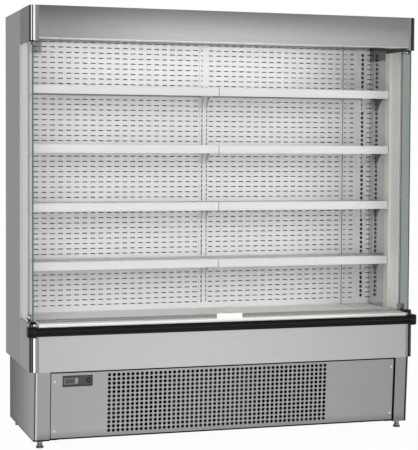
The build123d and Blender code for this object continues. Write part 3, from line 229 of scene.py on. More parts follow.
def studio_floor():
    """One square, reach metres each way; the eye sees it white, and the lamps see its paint."""
    reach = 30.0
    shown_white = 0.97
    mesh = bpy.data.meshes.new("floor")
    corners = [(-reach, -reach, 0), (reach, -reach, 0), (reach, reach, 0), (-reach, reach, 0)]
    mesh.from_pydata(corners, [], [(0, 1, 2, 3)])
    floor = bpy.data.objects.new("floor", mesh)
    bpy.context.scene.collection.objects.link(floor)
    floor.visible_glossy = False
    white = Look("floor_white", (246, 246, 246), 0.9)
    path = white.add("ShaderNodeLightPath").outputs
    seen = Wire(white, path["Is Camera Ray"]) * shown_white
    seen = seen + Wire(white, path["Is Transmission Ray"]) * shown_white
    glow = white.add("ShaderNodeEmission")
    glow.inputs["Color"].default_value = (1, 1, 1, 1)
    white.over(seen, glow)
    floor.data.materials.append(white.material)


def studio_room():
    """Diffuse surfaces get even light from the room, the eye gets plain white, and polished
    surfaces mirror soft panels with dark gaps between them. A panel is 1 within half its width of a
    middle, in degrees round the cabinet, and falls to 0 over its soft edge."""
    even_light, gap_light, side_light, rear_light = 0.62, 0.05, 0.38, 0.28
    in_degrees = 180 / pi
    world = bpy.data.worlds.new("studio")
    bpy.context.scene.world = world
    room = Graph(world)
    path = room.add("ShaderNodeLightPath").outputs
    x, y, z = room.place("Generated")
    azimuth = x.math("ARCTAN2", y * -1) * in_degrees
    height = z.math("ARCSINE") * in_degrees

    def panel(middle, half, soft):
        away = (azimuth - middle).size()
        return 1 - away.ease(half, half + soft)

    front = gap_light + panel(17, 1, 13) * 1.5 + panel(-29, 15, 3) * 1.1 + panel(58, 13, 8) * 0.3
    front = front + panel(-80, 8, 4) * height.ease(-3, 1) + panel(-4, 6, 5) * 0.4
    behind = azimuth.size().ease(138, 165) * rear_light
    sides = azimuth.ease(50, 64) * side_light + (azimuth * -1).ease(84, 91) * side_light
    sides = sides + panel(95, 20, 12) * 0.5 + panel(-112, 18, 12) * 0.35
    mirrored = front * (1.1 - height.ease(-4, 28) * 0.72) + behind + sides
    strength = Wire(room, path["Is Glossy Ray"]) * (mirrored - even_light) + even_light
    plain = Wire(room, path["Is Camera Ray"])
    plain = plain.math("MAXIMUM", Wire(room, path["Is Transmission Ray"]))
    strength = strength + plain * (1 - strength)
    light = room.add("ShaderNodeBackground")
    light.inputs["Color"].default_value = (1, 1, 1, 1)
    room.plug(light.inputs["Strength"], strength)
    output = room.add("ShaderNodeOutputWorld")
    room.tree.links.new(light.outputs[0], output.inputs["Surface"])


def studio_lights():
    """Square lamps: name, place, the height of the point on the axis they face, size and watts."""
    lights = (
        ("key", (-2.2, -4.2, 2.9), 1.0, 2.6, 58.0),
        ("front_right", (3.2, -3.6, 2.2), 0.9, 2.4, 58.0),
        ("back", (0.5, 4.5, 3.4), 1.0, 3.0, 60.0),
        ("left", (-5.0, 0.6, 2.4), 1.0, 2.6, 40.0),
        ("low_fill", (-0.6, -3.4, 0.75), 1.0, 1.8, 19.0),
    )
    for name, place, aim, size, power in lights:
        lamp = bpy.data.lights.new(name, "AREA")
        lamp.shape = "SQUARE"
        lamp.size = size
        lamp.energy = power
        holder = bpy.data.objects.new(name, lamp)
        holder.location = place
        way = np.subtract((0.0, 0.0, aim), place)
        turn = atan2(way[1], way[0]) - pi / 2
        tilt = pi / 2 + atan2(way[2], np.hypot(way[0], way[1]))
        holder.rotation_euler = (tilt, 0.0, turn)
        holder.visible_glossy = False
        bpy.context.scene.collection.objects.link(holder)


def studio_camera():
    """A pinhole camera: focal length and middle row are in pixels of the photograph."""
    wide, high = 418, 450
    focal, middle_row = 1410.45, 209.46
    place = (-2.0687, -6.5876, 1.3671)
    yaw, pitch, roll = radians(-17.412), radians(90 - 2.47), radians(0.281)
    lens = bpy.data.cameras.new("camera")
    lens.sensor_fit = "HORIZONTAL"
    lens.sensor_width = 36.0
    lens.lens = focal / wide * lens.sensor_width
    lens.shift_y = -(high / 2 - middle_row) / wide
    lens.clip_end = 100.0
    camera = bpy.data.objects.new("camera", lens)
    turn = Matrix.Rotation(yaw, 4, "Z") @ Matrix.Rotation(pitch, 4, "X")
    turn = turn @ Matrix.Rotation(roll, 4, "Z")
    camera.matrix_world = Matrix.Translation(place) @ turn
    bpy.context.scene.collection.objects.link(camera)
    bpy.context.scene.camera = camera
    bpy.context.scene.view_settings.view_transform = "Standard"


studio_floor()
studio_room()
studio_lights()
studio_camera()


# ---- feet ---------------------------------------------------------------------------------------
# Four turned, zinc-plated steel levelling feet: a flared pad, a waist, a round collar and a
# threaded stem that screws up into the base frame.
def add(name, points, faces, body="root", smooth=False):
    """A piece from an array of points and a list of face arrays; it rides on a body."""
    mesh = bpy.data.meshes.new(name)
    mesh.from_pydata(points.tolist(), [], [face for group in faces for face in group.tolist()])
    mesh.polygons.foreach_set("use_smooth", [smooth] * len(mesh.polygons))
    mesh.update()
    piece = bpy.data.objects.new(name, mesh)
    bpy.context.scene.collection.objects.link(piece)
    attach(piece, body)
    return piece


def feet():
    """A profile of radius r over height h, carried round the middle of the foot: at angle a a point
    is (x + r cos a, y + r sin a, h). Fans of triangles close the bottom and the top."""
    profile = np.array([
        (0.0172, 0), (0.0182, 0.001), (0.0182, 0.0072), (0.0172, 0.0082), (0.0140, 0.0090),
        (0.0128, 0.0105), (0.0128, 0.0150), (0.0120, 0.0156), (0.0120, 0.0176), (0.0128, 0.0182),
        (0.0128, 0.0355), (0.0058, 0.0362), (0.0058, 0.0632), (0.0050, 0.0638)])
    sides, rows, top = 40, len(profile), profile[-1, 1]
    angle = np.arange(sides) * 2 * pi / sides
    ring = np.stack([np.cos(angle), np.sin(angle)], 1)
    this = np.arange(sides)
    following = (this + 1) % sides
    bottom_middle, top_middle = rows * sides, rows * sides + 1
    last = (rows - 1) * sides
    walls = [np.stack([row + this, row + following, row + sides + following, row + sides + this], 1)
             for row in range(0, last, sides)]
    caps = [np.stack([following, this, np.full(sides, bottom_middle)], 1),
            np.stack([last + this, last + following, np.full(sides, top_middle)], 1)]

    thread_pitch, thread_start, waist, waist_half = 0.0015, 0.038, 0.0166, 0.0011
    metal = Look("foot_zinc", (158, 158, 158), 0.24, 1.0)
    z = metal.place()[2]
    metal.bump(z.wave(thread_pitch) * z.above(thread_start), 0.0004)
    # Painted shade: a dark band in the waist's groove, and darker towards the floor at the pad.
    metal.shade((z - waist).size().below(waist_half), (40, 40, 40))
    metal.shade(1 - z.ease(0.0025, 0.0055), (34, 34, 34))
    metal.shade(metal.noise((160, 160, 160)).ease(0.45, 0.75) * 0.3, (120, 120, 120))

    for corner in ("front_left", "front_right", "rear_left", "rear_right"):
        low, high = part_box(f"foot_{corner}")
        x, y = (low[0] + high[0]) / 2, (low[1] + high[1]) / 2
        flat = (profile[:, 0, None, None] * ring + (x, y)).reshape(-1, 2)
        points = np.column_stack([flat, np.repeat(profile[:, 1], sides)])
        points = np.concatenate([points, [(x, y, 0), (x, y, top)]])
        name = f"turned_foot_{corner}"
        foot = add(name, points, walls + caps, f"foot_{corner}", smooth=True)
        foot.data.set_sharp_from_angle(angle=radians(35))
        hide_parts(f"foot_{corner}")
        metal.on(name)


feet()


# ---- machine space ------------------------------------------------------------------------------
# A welded, black-coated steel base frame; on its floor sheet stand the painted compressor, the
# finned condenser with its fan in a sheet shroud, the moulded water tray and the electrical box.
def coated(name, colour, roughness=0.42):
    """Powder coat: fine orange peel, and a little greying."""
    look = Look(name, colour, roughness)
    peel = look.noise((260, 260, 260), 2.0)
    look.bump(peel, 0.00012)
    cloud = look.noise((3, 3, 3), 2.0)
    look.shade(cloud.ease(0.45, 0.8) * 0.25, tuple(level * 0.96 for level in colour))
    return look


def moulded(name, colour, roughness, **constants):
    """Moulded plastic: fine spark texture, and slow changes of sheen and shade."""
    look = Look(name, colour, roughness, **constants)
    look.bump(look.noise((900, 900, 900)), 0.00006)
    sheen = look.noise((14, 14, 14))
    look.set("Roughness", roughness - 0.04 + sheen * 0.08)
    look.shade(sheen.ease(0.4, 0.8) * 0.3, tuple(level * 0.88 for level in colour))
    return look


def finned(name, colour, metallic, pitch):
    """Packed sheet fins: sunk gaps once in each pitch along X, painted dark as the shade in them.
    """
    look = Look(name, colour, 0.42, metallic)
    gap = look.place()[0].wave(pitch)
    # Painted shade: the gaps between the fins are dark.
    look.shade(gap.above(0.6), tuple(level * 0.35 for level in colour))
    look.bump(1 - gap.ease(0.5, 0.7), 0.0008)
    look.set("Roughness", 0.36 + look.noise((40, 40, 40)) * 0.14)
    return look


coated("frame_black", (30, 30, 32), 0.5).on("base_frame", "condenser_shroud")
finned("condenser_black", (30, 30, 31), 0.0, 0.004).on("condenser")

compressor_seam = 0.168
shell = coated("machine_black", (24, 24, 26), 0.4).on("compressor")
shell.bump(1 - (shell.place()[2] - compressor_seam).size().ease(0.001, 0.004), 0.002)

fan_plastic = moulded("fan_plastic", (36, 37, 39), 0.4).on("condenser_fan")

lid_joint = 0.170
box = moulded("box_plastic", (44, 45, 47), 0.5).on("electrical_box")
box.shade((box.place()[2] - lid_joint).size().below(0.0008), (12, 12, 12))

tray = moulded("tray_plastic", (84, 86, 88), 0.5).on("condensate_tray")
tray.shade(1 - tray.place()[2].ease(0.070, 0.082), (66, 67, 68))


# ---- dust mat -----------------------------------------------------------------------------------
# A sheet of black felt, cut to the width of the machine space. It stands upright behind the
# machinery, before the vents of the rear panel.
def pierced(us, vs, is_open, start, across, up, depth):
    """Points and faces of a flat sheet with rectangular openings. us and vs are its grid lines, and
    cell i, j between them is left out where is_open[i, j]. A point is start + u across + v up; the
    rear face is the front one moved by depth, and walls join them round rim and openings."""
    us, vs, is_open = np.asarray(us, float), np.asarray(vs, float), np.asarray(is_open, bool)
    across, up, depth = (np.asarray(way, float) for way in (across, up, depth))
    front = np.asarray(start, float) + us[:, None, None] * across + vs[None, :, None] * up
    points = np.concatenate([front.reshape(-1, 3), (front + depth).reshape(-1, 3)])
    count = len(us) * len(vs)
    index = np.arange(count).reshape(len(us), len(vs))
    i, j = np.nonzero(~is_open)
    cells = np.stack([index[i, j], index[i + 1, j], index[i + 1, j + 1], index[i, j + 1]], 1)
    faces = [cells, cells[:, ::-1] + count]
    solid = np.pad(~is_open, 1)
    for before, after in ((True, False), (False, True)):
        k, j = np.nonzero((solid[:-1, 1:-1] == before) & (solid[1:, 1:-1] == after))
        p, q = index[k, j], index[k, j + 1]
        wall = np.stack([p, p + count, q + count, q], 1)
        faces.append(wall if before else wall[:, ::-1])
        i, k = np.nonzero((solid[1:-1, :-1] == before) & (solid[1:-1, 1:] == after))
        p, q = index[i, k], index[i + 1, k]
        wall = np.stack([p, q, q + count, p + count], 1)
        faces.append(wall if before else wall[:, ::-1])
    return points, faces


def dust_mat():
    """A pierced sheet of one closed cell, standing across the width."""
    half, low, high, front, thick = 0.80, 0.06, 0.33, 0.3300, 0.0034
    mat = add("dust_mat", *pierced([-half, half], [low, high], [[False]], (0, front, 0),
                                   (1, 0, 0), (0, 0, 1), (0, thick, 0)))
    felt = Look("dust_mat_black", (18, 18, 18), 0.9)
    fibres = felt.noise((400, 400, 120), 4.0)
    felt.shade(fibres.ease(0.4, 0.8), (40, 40, 39))
    felt.bump(fibres, 0.0008)
    felt.on("dust_mat")


dust_mat()


# ---- plinth ends --------------------------------------------------------------------------------
# Folded stainless sheet, satin brushed upright: each end piece runs along the side of the machine
# space and round a post on to the leaning front, where its lug takes the grille panel's screws.
def brushed(name, colour, roughness, grain):
    """Satin metal: long hair lines along the grain, and slow unevenness of the polish."""
    look = Look(name, colour, roughness, 1.0)
    lines = look.noise(grain, 3.0)
    cloud = look.noise((2.0, 2.0, 3.0), 1.0)
    look.set("Roughness", roughness - 0.05 + lines * 0.08 + cloud * 0.02)
    look.shade(lines.ease(0.35, 0.75) * 0.35, tuple(level * 0.88 for level in colour))
    look.bump(lines, 0.00006)
    return look


ALONG, UPRIGHT = (3, 1300, 1300), (1300, 1300, 3)   # hair lines a metre, along X, Y and Z
plinth = brushed("plinth_steel", (170, 170, 170), 0.32, UPRIGHT).on("plinth_ends")
bend_start, bend_full, bend_front, side_start = 0.9085, 0.911, -0.3065, 0.926
lean_top, lean_slope, side_rear, side_deep = 0.3525, 0.0627, 0.35, 0.67
left_light, bottom_fold, right_gap_shadow = 0.9175, 0.0425, 0.8555
x, y, z = plinth.place()
half_width = x.size()
side = half_width.above(side_start)
forward = (side_rear - y) / side_deep
front_line = y + (z - lean_top) * lean_slope
bend = half_width.ease(bend_start, bend_full) * front_line.below(bend_front)
# Painted shade: the sides are darker, paler towards the front, and darkest and partly matt towards
# the rear.
plinth.shade(side, (64, 64, 64))
plinth.shade(side * forward, (165, 165, 165))
plinth.over(side * (1 - forward) * 0.4, plinth.even((60, 60, 60), 0.6, Specular_IOR_Level=0.0))
# Painted reflection: the front darkens towards the floor.
plinth.shade((1 - z.ease(0.040, 0.085)) * (1 - side), (140, 140, 140))
# Painted highlight and shade on the bend: pale on the whole, dark on the right, and less pale on
# the outer half of the left bend.
plinth.shade(bend, (208, 208, 208))
plinth.shade(bend * x.above(0), (66, 66, 66))
plinth.shade(bend * (x * -1).above(left_light), (168, 168, 168))
# Painted shadow: a dark line at the bottom fold on the left only, and a dark edge on the right by
# the gap to the grille panel.
plinth.shade(z.below(bottom_fold) * x.below(0), (44, 44, 44))
plinth.shade(x.above(0) * x.below(right_gap_shadow), (26, 26, 26))
plinth.set("Roughness", plinth.got("Roughness") - bend * 0.06)


# ---- grille panel -------------------------------------------------------------------------------
# Leaning front of the machine space: one folded stainless sheet, brushed along its length, with a
# window for the controls and a field of round punched holes. Hexagon-headed screws near its four
# corners hold it to the lugs of the plinth ends.
def joined(*parts):
    """Several sets of points and faces as one."""
    points, faces, offset = [], [], 0
    for some_points, some_faces in parts:
        points.append(some_points)
        faces += [np.asarray(face) + offset for face in some_faces]
        offset += len(some_points)
    return np.concatenate(points), faces


def grille_panel():
    """A pierced sheet with two large openings. The wider one is filled with oblong tiles, each with
    a twelve-sided hole, and four flanges run inward from the rim. All of it leans by one angle."""
    lean = atan2(20, 319)
    lean_cos, lean_sin = cos(lean), sin(lean)
    front, hinge_height = 0.003 - 0.327, 0.354
    start = np.array((0.0, front, hinge_height))
    across = np.array((1.0, 0.0, 0.0))
    up = np.array((0.0, -lean_sin, lean_cos))
    inward = np.array((0.0, lean_cos, lean_sin))
    sheet, deep, edge = 0.0015, 0.014, 0.848
    low, high = 0.039 - hinge_height, 0.3485 - hinge_height
    columns, rows, pitch_x, pitch_z, radius = 49, 14, 0.02212, 0.020, 0.0080
    x0 = -0.57725 - pitch_x / 2
    z0 = 0.3293 - hinge_height - (rows - 0.5) * pitch_z
    field = (x0, x0 + columns * pitch_x), (z0, z0 + rows * pitch_z)
    window = (-0.796, -0.656), (0.282 - hinge_height, 0.334 - hinge_height)
    us = np.array(sorted({-edge, edge, *field[0], *window[0]}))
    vs = np.array(sorted({low, high, *field[1], *window[1]}))
    u, v = (us[1:] + us[:-1])[:, None] / 2, (vs[1:] + vs[:-1]) / 2
    is_open = np.zeros((len(us) - 1, len(vs) - 1), bool)
    for (u0, u1), (v0, v1) in (field, window):
        is_open |= (u > u0) & (u < u1) & (v > v0) & (v < v1)
    parts = [pierced(us, vs, is_open, start, across, up, sheet * inward)]

    # A tile has twelve points on its rim and twelve on the hole, front and rear.
    sides = 12
    third = np.array([-1, -1 / 3, 1 / 3])
    one = np.ones(3)
    rim = np.concatenate([np.stack([third, -one], 1), np.stack([one, third], 1),
                          np.stack([-third, one], 1), np.stack([-one, -third], 1)])
    angle = np.arange(sides) * 2 * pi / sides - 3 * pi / 4
    hole = np.stack([np.cos(angle), np.sin(angle)], 1) * radius
    ring = np.concatenate([rim * (pitch_x / 2, pitch_z / 2), hole])
    middles = np.stack(np.meshgrid(x0 + (np.arange(columns) + 0.5) * pitch_x,
                                   z0 + (np.arange(rows) + 0.5) * pitch_z, indexing="ij"), -1)
    middles = middles.reshape(-1, 2)
    flat = (middles[:, None] + ring).reshape(-1, 2)
    face = start + flat[:, :1] * across + flat[:, 1:] * up
    points = np.concatenate([face, face + sheet * inward])
    this = np.arange(sides)
    following = (this + 1) % sides
    tile = np.stack([this, following, following + sides, this + sides], 1)
    count = len(face)
    tiles = (np.arange(len(middles))[:, None, None] * 2 * sides + tile).reshape(-1, 4)
    walls = np.stack([tiles[:, 3], tiles[:, 2], tiles[:, 2] + count, tiles[:, 3] + count], 1)
    parts.append((points, [tiles, tiles[:, ::-1] + count, walls]))

    flanges = (((-edge, low), (edge, low + sheet)), ((-edge, high - sheet), (edge, high)),
               ((-edge, low), (-edge + sheet, high)), ((edge - sheet, low), (edge, high)))
    for (u0, v0), (u1, v1) in flanges:
        parts.append(pierced([u0, u1], [v0, v1], [[False]], start + sheet * inward,
                             across, up, (deep - sheet) * inward))
    panel = add("grille_sheet", *joined(*parts))
    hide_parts("grille_panel")

    bottom_shadow, right_gap_shadow, top_shadow, skin = 0.0462, 0.8440, 0.3458, 0.0003
    look = brushed("grille_steel", (178, 178, 178), 0.34, ALONG).on("grille_sheet")
    x, y, z = look.place()
    # Painted reflection: the sheet darkens towards the floor.
    look.shade(1 - z.ease(0.040, 0.085), (150, 150, 150))
    # Painted shadow: dark lines along the bottom edge, along the right edge by the gap, and along
    # the top edge under the lower front panel.
    look.shade(z.below(bottom_shadow), (20, 20, 20))
    look.shade(x.above(right_gap_shadow), (24, 24, 24))
    look.shade(z.above(top_shadow), (24, 24, 24))
    # Painted shade: behind the front face, the hole walls, the rear face and the flanges are dark
    # and not metal.
    inner = ((y - front) * lean_cos + (z - hinge_height) * lean_sin).above(skin)
    look.shade(inner, (14, 14, 14))
    look.set("Metallic", 1 - inner)
    screws = brushed("screw_steel", (222, 222, 222), 0.35, (900, 900, 900)).on("panel_screws")
    screws.set("Metallic", 0.6)


grille_panel()


# ---- controls -----------------------------------------------------------------------------------
# A warm dark moulded plate, recessed behind the panel's window. It carries the thermostat, with its
# lighter bezel, display window and three sprung keys, and the mains switch in a snap-in housing.
def controls():
    """Each mark is a box: the distances from its middle along X and Z, against its half sizes."""
    plate_middle, plate_half = (-0.7260, 0.3085), (0.0752, 0.0312)
    bezel_middle, bezel_half = (-0.7560, 0.3060), (0.0300, 0.0140)
    window_middle, window_half = (-0.7605, 0.3065), (0.0215, 0.0108)

    def away(look, middle):
        x, y, z = look.place()
        return (x - middle[0]).size(), (z - middle[1]).size()

    plate = moulded("control_plate_dark", (66, 63, 60), 0.42).on("control_plate")
    wide, high = away(plate, plate_middle)
    rim = wide.above(plate_half[0]).math("MAXIMUM", high.above(plate_half[1]))
    plate.shade(rim, (22, 20, 19))
    unit = moulded("thermostat_case", (70, 67, 64), 0.38).on("thermostat")
    wide, high = away(unit, bezel_middle)
    unit.shade(wide.below(bezel_half[0]) * high.below(bezel_half[1]), (118, 116, 110))
    wide, high = away(unit, window_middle)
    window = wide.below(window_half[0]) * high.below(window_half[1])
    unit.shade(window, (62, 59, 54))
    unit.set("Roughness", 0.38 - window * 0.2)
    buttons = [f"thermostat_button_{name}" for name in ("down", "set", "up")]
    moulded("button_grey", (158, 157, 150), 0.4).on(*buttons)
    moulded("switch_black", (6, 6, 6), 0.35, Specular_IOR_Level=0.15).on("switch_bezel")
    # The rocker's pale warm tone is partly its own colour and partly a painted highlight for its
    # glint.
    rocker = moulded("rocker_green", (84, 78, 58), 0.3, Specular_IOR_Level=0.3).on("switch_rocker")
    rocker.bump(rocker.place()[0].wave(0.0012), 0.0002)


controls()


# ---- carcass ------------------------------------------------------------------------------------
# Foamed walls between thin sheets, bolted together. The end walls are satin steel outside and
# polished inside, where they mirror the back; the roof, rear and vent panel are zinc-coated steel,
# and the well is coated white.
def end_walls():
    """The polished face lies within a half width; the outer front edge is paler, without metal."""
    inner_face, front_edge = 0.906, -0.0585
    look = brushed("end_wall_steel", (142, 142, 142), 0.34, UPRIGHT)
    look.on("end_wall_left", "end_wall_right")
    x, y, z = look.place()
    inside = x.size().below(inner_face)
    front = y.below(front_edge) * (1 - inside)
    look.set("Roughness", look.got("Roughness") * (1 - inside) + inside * 0.05)
    look.shade(inside, (206, 206, 206))
    # Painted shade: a dark patch high up on the inner face of the right wall.
    look.shade(inside * x.above(0) * z.ease(1.806, 1.822) * 0.75, (52, 52, 52))
    look.shade(front, (196, 196, 196))
    look.set("Metallic", 1 - front)


def zinc_sheets():
    """Zinc sheet with its crystals, each a cell of its own tone and gloss."""
    zinc = Look("galvanised", (176, 180, 184), 0.4, 0.8)
    crystals = zinc.add("ShaderNodeTexVoronoi")
    crystals.inputs["Scale"].default_value = 70.0
    where = zinc.add("ShaderNodeTexCoord").outputs["Object"]
    zinc.tree.links.new(where, crystals.inputs["Vector"])
    tone = zinc.add("ShaderNodeSeparateXYZ")
    zinc.tree.links.new(crystals.outputs["Color"], tone.inputs[0])
    tone = Wire(zinc, tone.outputs[0])
    zinc.shade(tone * 0.45, (150, 155, 160))
    zinc.set("Roughness", 0.32 + tone * 0.14)
    return zinc.on("roof", "rear_wall", "rear_vent_panel")


end_walls()
zinc = zinc_sheets()
tub = coated("tub_white", (238, 238, 238)).on("tub")
well_front, well_top = -0.1375, 0.5475
x, y, z = tub.place()
# Painted shade: darker in the front of the well, under the return grille.
tub.shade(y.below(well_front) * z.below(well_top), (96, 96, 96))


# ---- lower front --------------------------------------------------------------------------------
# The stainless front panel of the well is folded sheet, brushed along its length and screwed on.
# Foamed cheeks, skinned with sheet brushed upright, fill in between end walls and front corners.
brushed("panel_steel", (205, 205, 205), 0.33, ALONG).on("lower_front_panel")
brushed("side_steel", (157, 157, 157), 0.34, UPRIGHT).on("lower_cheeks")


# ---- air duct -----------------------------------------------------------------------------------
# Under the decks lie a finned aluminium coil and a zinc-coated plate. The plate carries two motors
# with moulded fans on their shafts, which push the air up behind the back panels.
finned("fins", (196, 198, 201), 0.9, 0.005).on("evaporator_coil")
zinc.on("fan_plate")
fan_plastic.on("evaporator_fan_left", "evaporator_fan_right")


# ---- back panels --------------------------------------------------------------------------------
# White-coated steel sheet behind the shelves in both bays, punched all over with short lying slots
# that let cold air through from the duct. Narrow strips close the gaps at the ends.
def back_panels():
    """One pierced sheet for each bay, strip and end filler. Rows of slots repeat by pitch_z from
    the top down; a row opens round the given middles, as wide as stated, cut off at the edges."""
    low, high, front, thick = 0.548, 1.892, 0.135, 0.0015
    pitch_x, pitch_z, slot, height = 0.040, 0.025, 0.0235, 0.005
    rows = np.arange(int((high - low - 0.03) / pitch_z))
    levels = high - 0.0145 - rows * pitch_z
    vs = np.sort(np.concatenate([[low], levels - height / 2, levels + height / 2, [high]]))
    bays = (
        (-0.8345, -0.0135, -0.0335 - pitch_x * np.arange(20, -1, -1), slot),
        (0.0375, 0.7480, 0.0465 + pitch_x * np.arange(18), slot),
        (0.7490, 0.8345, np.array([0.7705, 0.8065]), np.array([0.0120, 0.0215])),
        (-0.905, -0.8855, np.array([-0.8982]), 0.0125),
        (0.8855, 0.905, np.array([0.8982]), 0.0125),
    )
    parts = []
    for x0, x1, middles, wide in bays:
        us = np.concatenate([[x0, x1], middles - wide / 2, middles + wide / 2])
        us = np.unique(np.clip(us, x0, x1))
        u = (us[1:] + us[:-1])[:, None] / 2
        is_open = np.zeros((len(us) - 1, len(vs) - 1), bool)
        is_open[:, 1::2] = (np.abs(u - middles) < wide / 2).any(1)[:, None]
        parts.append(pierced(us, vs, is_open, (0, front, 0), (1, 0, 0), (0, 0, 1), (0, thick, 0)))
    panel = add("slotted_back", *joined(*parts))
    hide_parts("back_panels")

    strip_joint = 0.7570
    white = coated("white_steel", (244, 244, 243)).on("slotted_back")
    x, y, z = white.place()
    # Painted shade: darker at the top under the header, over the canopy lining too, which has this
    # finish.
    white.shade(z.ease(1.866, 1.887) * 0.8, (104, 104, 104))
    white.shade((x - strip_joint).size().below(0.0024) * 0.75, (60, 60, 60))
    # Painted shadow: a dark patch in the top left corner.
    white.shade((1 - x.ease(-0.812, -0.802)) * z.ease(1.812, 1.828) * 0.75, (112, 112, 112))
    return white


white = back_panels()


# ---- uprights -----------------------------------------------------------------------------------
# Three folded steel channels, coated like the back, that stand on the floor of the well. Brackets
# hang in their hook slots, and the back's lying slots run on over the left and the middle one.
def uprights():
    """The face of each channel is a pierced sheet: columns of hook slots, one in each step, and
    spans where the back's slots go on. Two plain walls behind its edges make the channel."""
    low, high, half, deep, wall = 0.394, 1.892, 0.025, 0.028, 0.002
    front, shelf_pitch = 0.133, 0.275
    step, height = shelf_pitch / 12, 0.0145
    first = 1.6435
    hooks = np.arange(-int((first - 0.60) / step), int((high - 0.02 - first) / step) + 1)
    hooks = first + step * hooks
    vent_height = 0.005
    vents = high - 0.0145 - 0.025 * np.arange(52)
    vs = np.unique(np.concatenate([
        [low, high], hooks - height / 2, hooks + height / 2,
        vents - vent_height / 2, vents + vent_height / 2]).round(6))
    v = (vs[1:] + vs[:-1]) / 2
    hooked = np.abs(v[:, None] - hooks).min(1) < height / 2
    vented = np.abs(v[:, None] - vents).min(1) < vent_height / 2
    # Between the two hooks of each left bracket the hook slots are closed.
    clear = np.abs((first + 0.01 - v) % shelf_pitch - 0.044) > 0.024
    posts = (
        (-0.860, [(-0.8695, -0.8605)],
         [(-0.885, -0.8618), (-0.8453, -0.835)], clear & (v < 1.66)),
        (0.012, [(-0.0025, 0.0025), (0.0215, 0.0265)],
         [(-0.0053, 0.003), (0.0347, 0.037)], v < 1.68),
        (0.860, [(0.858, 0.872)], [], v > 0),
    )
    parts = []
    for x, ladder, slots, rows in posts:
        us = np.array([x - half, x + half, *np.ravel(ladder), *np.ravel(slots)])
        us = np.unique(us.round(6))
        u = (us[1:] + us[:-1])[:, None] / 2
        is_open = np.zeros((len(u), len(v)), bool)
        for spans, levels in ((ladder, hooked & rows), (slots, vented)):
            for x0, x1 in spans:
                is_open |= (u > x0) & (u < x1) & levels
        parts.append(pierced(us, vs, is_open, (0, front, 0), (1, 0, 0), (0, 0, 1), (0, wall, 0)))
        for x0 in (x - half, x + half - wall):
            parts.append(pierced([x0, x0 + wall], [low, high], [[False]], (0, front + wall, 0),
                                 (1, 0, 0), (0, 0, 1), (0, deep - wall, 0)))
    piece = add("slotted_uprights", *joined(*parts))
    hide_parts("uprights")
    white.on("slotted_uprights")


uprights()


# ---- shelf brackets -----------------------------------------------------------------------------
# Coated steel plates, two under each tray, cut from sheet and hung by two hooks in the slots of the
# uprights.
def brackets():
    """Each plate is a thin rectangle carried forward from the upright; its height falls from the
    heel to the nose along a hollow curve (a parabola between three points)."""
    reach, heel, drop, nose, thick = 0.205, 0.018, 0.092, 0.016, 0.003
    front, first_top, shelf_pitch = 0.133, 1.6545, 0.275
    hook_drop, hook_step, hook_half, hook_deep = 0.011, 0.06875, 0.0055, 0.007
    t = np.linspace(0, 1, 15)
    weights = np.stack([(1 - t) ** 2, 2 * t * (1 - t), t ** 2], 1)
    out = np.concatenate([[0], weights @ (heel, 0.055, reach)])
    fall = np.concatenate([[drop], weights @ (drop, 0.012, nose)])
    n = len(out)
    k = np.arange(n - 1)[:, None] * 4
    this = np.arange(4)
    following = (this + 1) % 4
    walls = np.stack([k + this, k + following, k + 4 + following, k + 4 + this], -1).reshape(-1, 4)
    ends = np.array([[3, 2, 1, 0], [4 * n - 4, 4 * n - 3, 4 * n - 2, 4 * n - 1]])
    parts = []
    for row in range(4):
        top = first_top - shelf_pitch * row
        for x in (-0.865, 0.0, 0.024, 0.865):
            lefts = np.stack([np.full(n, x - thick / 2), front - out, np.full(n, top)], 1)
            rights = lefts + (thick, 0, 0)
            plate = np.stack([lefts, rights, rights, lefts], 1)
            plate[:, 2:, 2] -= fall[:, None]
            parts.append((plate.reshape(-1, 3), [walls, ends]))
            for z in (top - hook_drop, top - hook_drop - hook_step):
                parts.append(pierced([x - thick / 2, x + thick / 2],
                                     [z - hook_half, z + hook_half], [[False]], (0, front, 0),
                                     (1, 0, 0), (0, 0, 1), (0, hook_deep, 0)))
    piece = add("hooked_brackets", *joined(*parts))
    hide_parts("shelf_brackets")
    coated("bracket_white", (244, 244, 243)).on("hooked_brackets")


brackets()


# ---- shelf trays --------------------------------------------------------------------------------
# White-coated folded steel trays with ticket rails hooked over their front edges, lying loose on
# the brackets. The rear edge of each is folded down, and notched where it straddles the brackets.
def shelf_trays():
    """Each fold is a pierced sheet under the tray's rear edge, open where a bracket passes. A band
    under each tray's top, once in a shelf pitch, is painted greyer behind the rails, as shade."""
    first_under, shelf_pitch, fall = 1.6545, 0.275, 0.033
    front, thick, notch = 0.1270, 0.0015, 0.0035
    band_bottom, band_high, rail_rear = 0.790, 0.0399, -0.1075
    shelf = coated("shelf_white", (214, 214, 212))
    x, y, z = shelf.place()
    level = ((z - band_bottom) / shelf_pitch).math("FRACT") * shelf_pitch
    # Painted shade: the band under each tray, with the rear fold in it, is greyer.
    shelf.shade(level.below(band_high) * y.above(rail_rear), (150, 150, 150))
    for row in range(4):
        under = first_under - shelf_pitch * row
        for side, x0, x1, plates in (("left", -0.8995, 0.0085, (-0.865, 0.0)),
                                     ("right", 0.0155, 0.8995, (0.024, 0.865))):
            us = np.unique([x0, x1, *[x + gap for x in plates for gap in (-notch, notch)]])
            u = (us[1:] + us[:-1])[:, None] / 2
            is_open = np.abs(u - np.array(plates)).min(1)[:, None] < notch
            name = f"tray_rear_{row + 1}_{side}"
            body = f"shelf_{row + 1}_{side}"
            fold = add(name, *pierced(us, [under - fall, under], is_open, (0, front, 0),
                                      (1, 0, 0), (0, 0, 1), (0, thick, 0)), body)
            shelf.on(name, body)


shelf_trays()


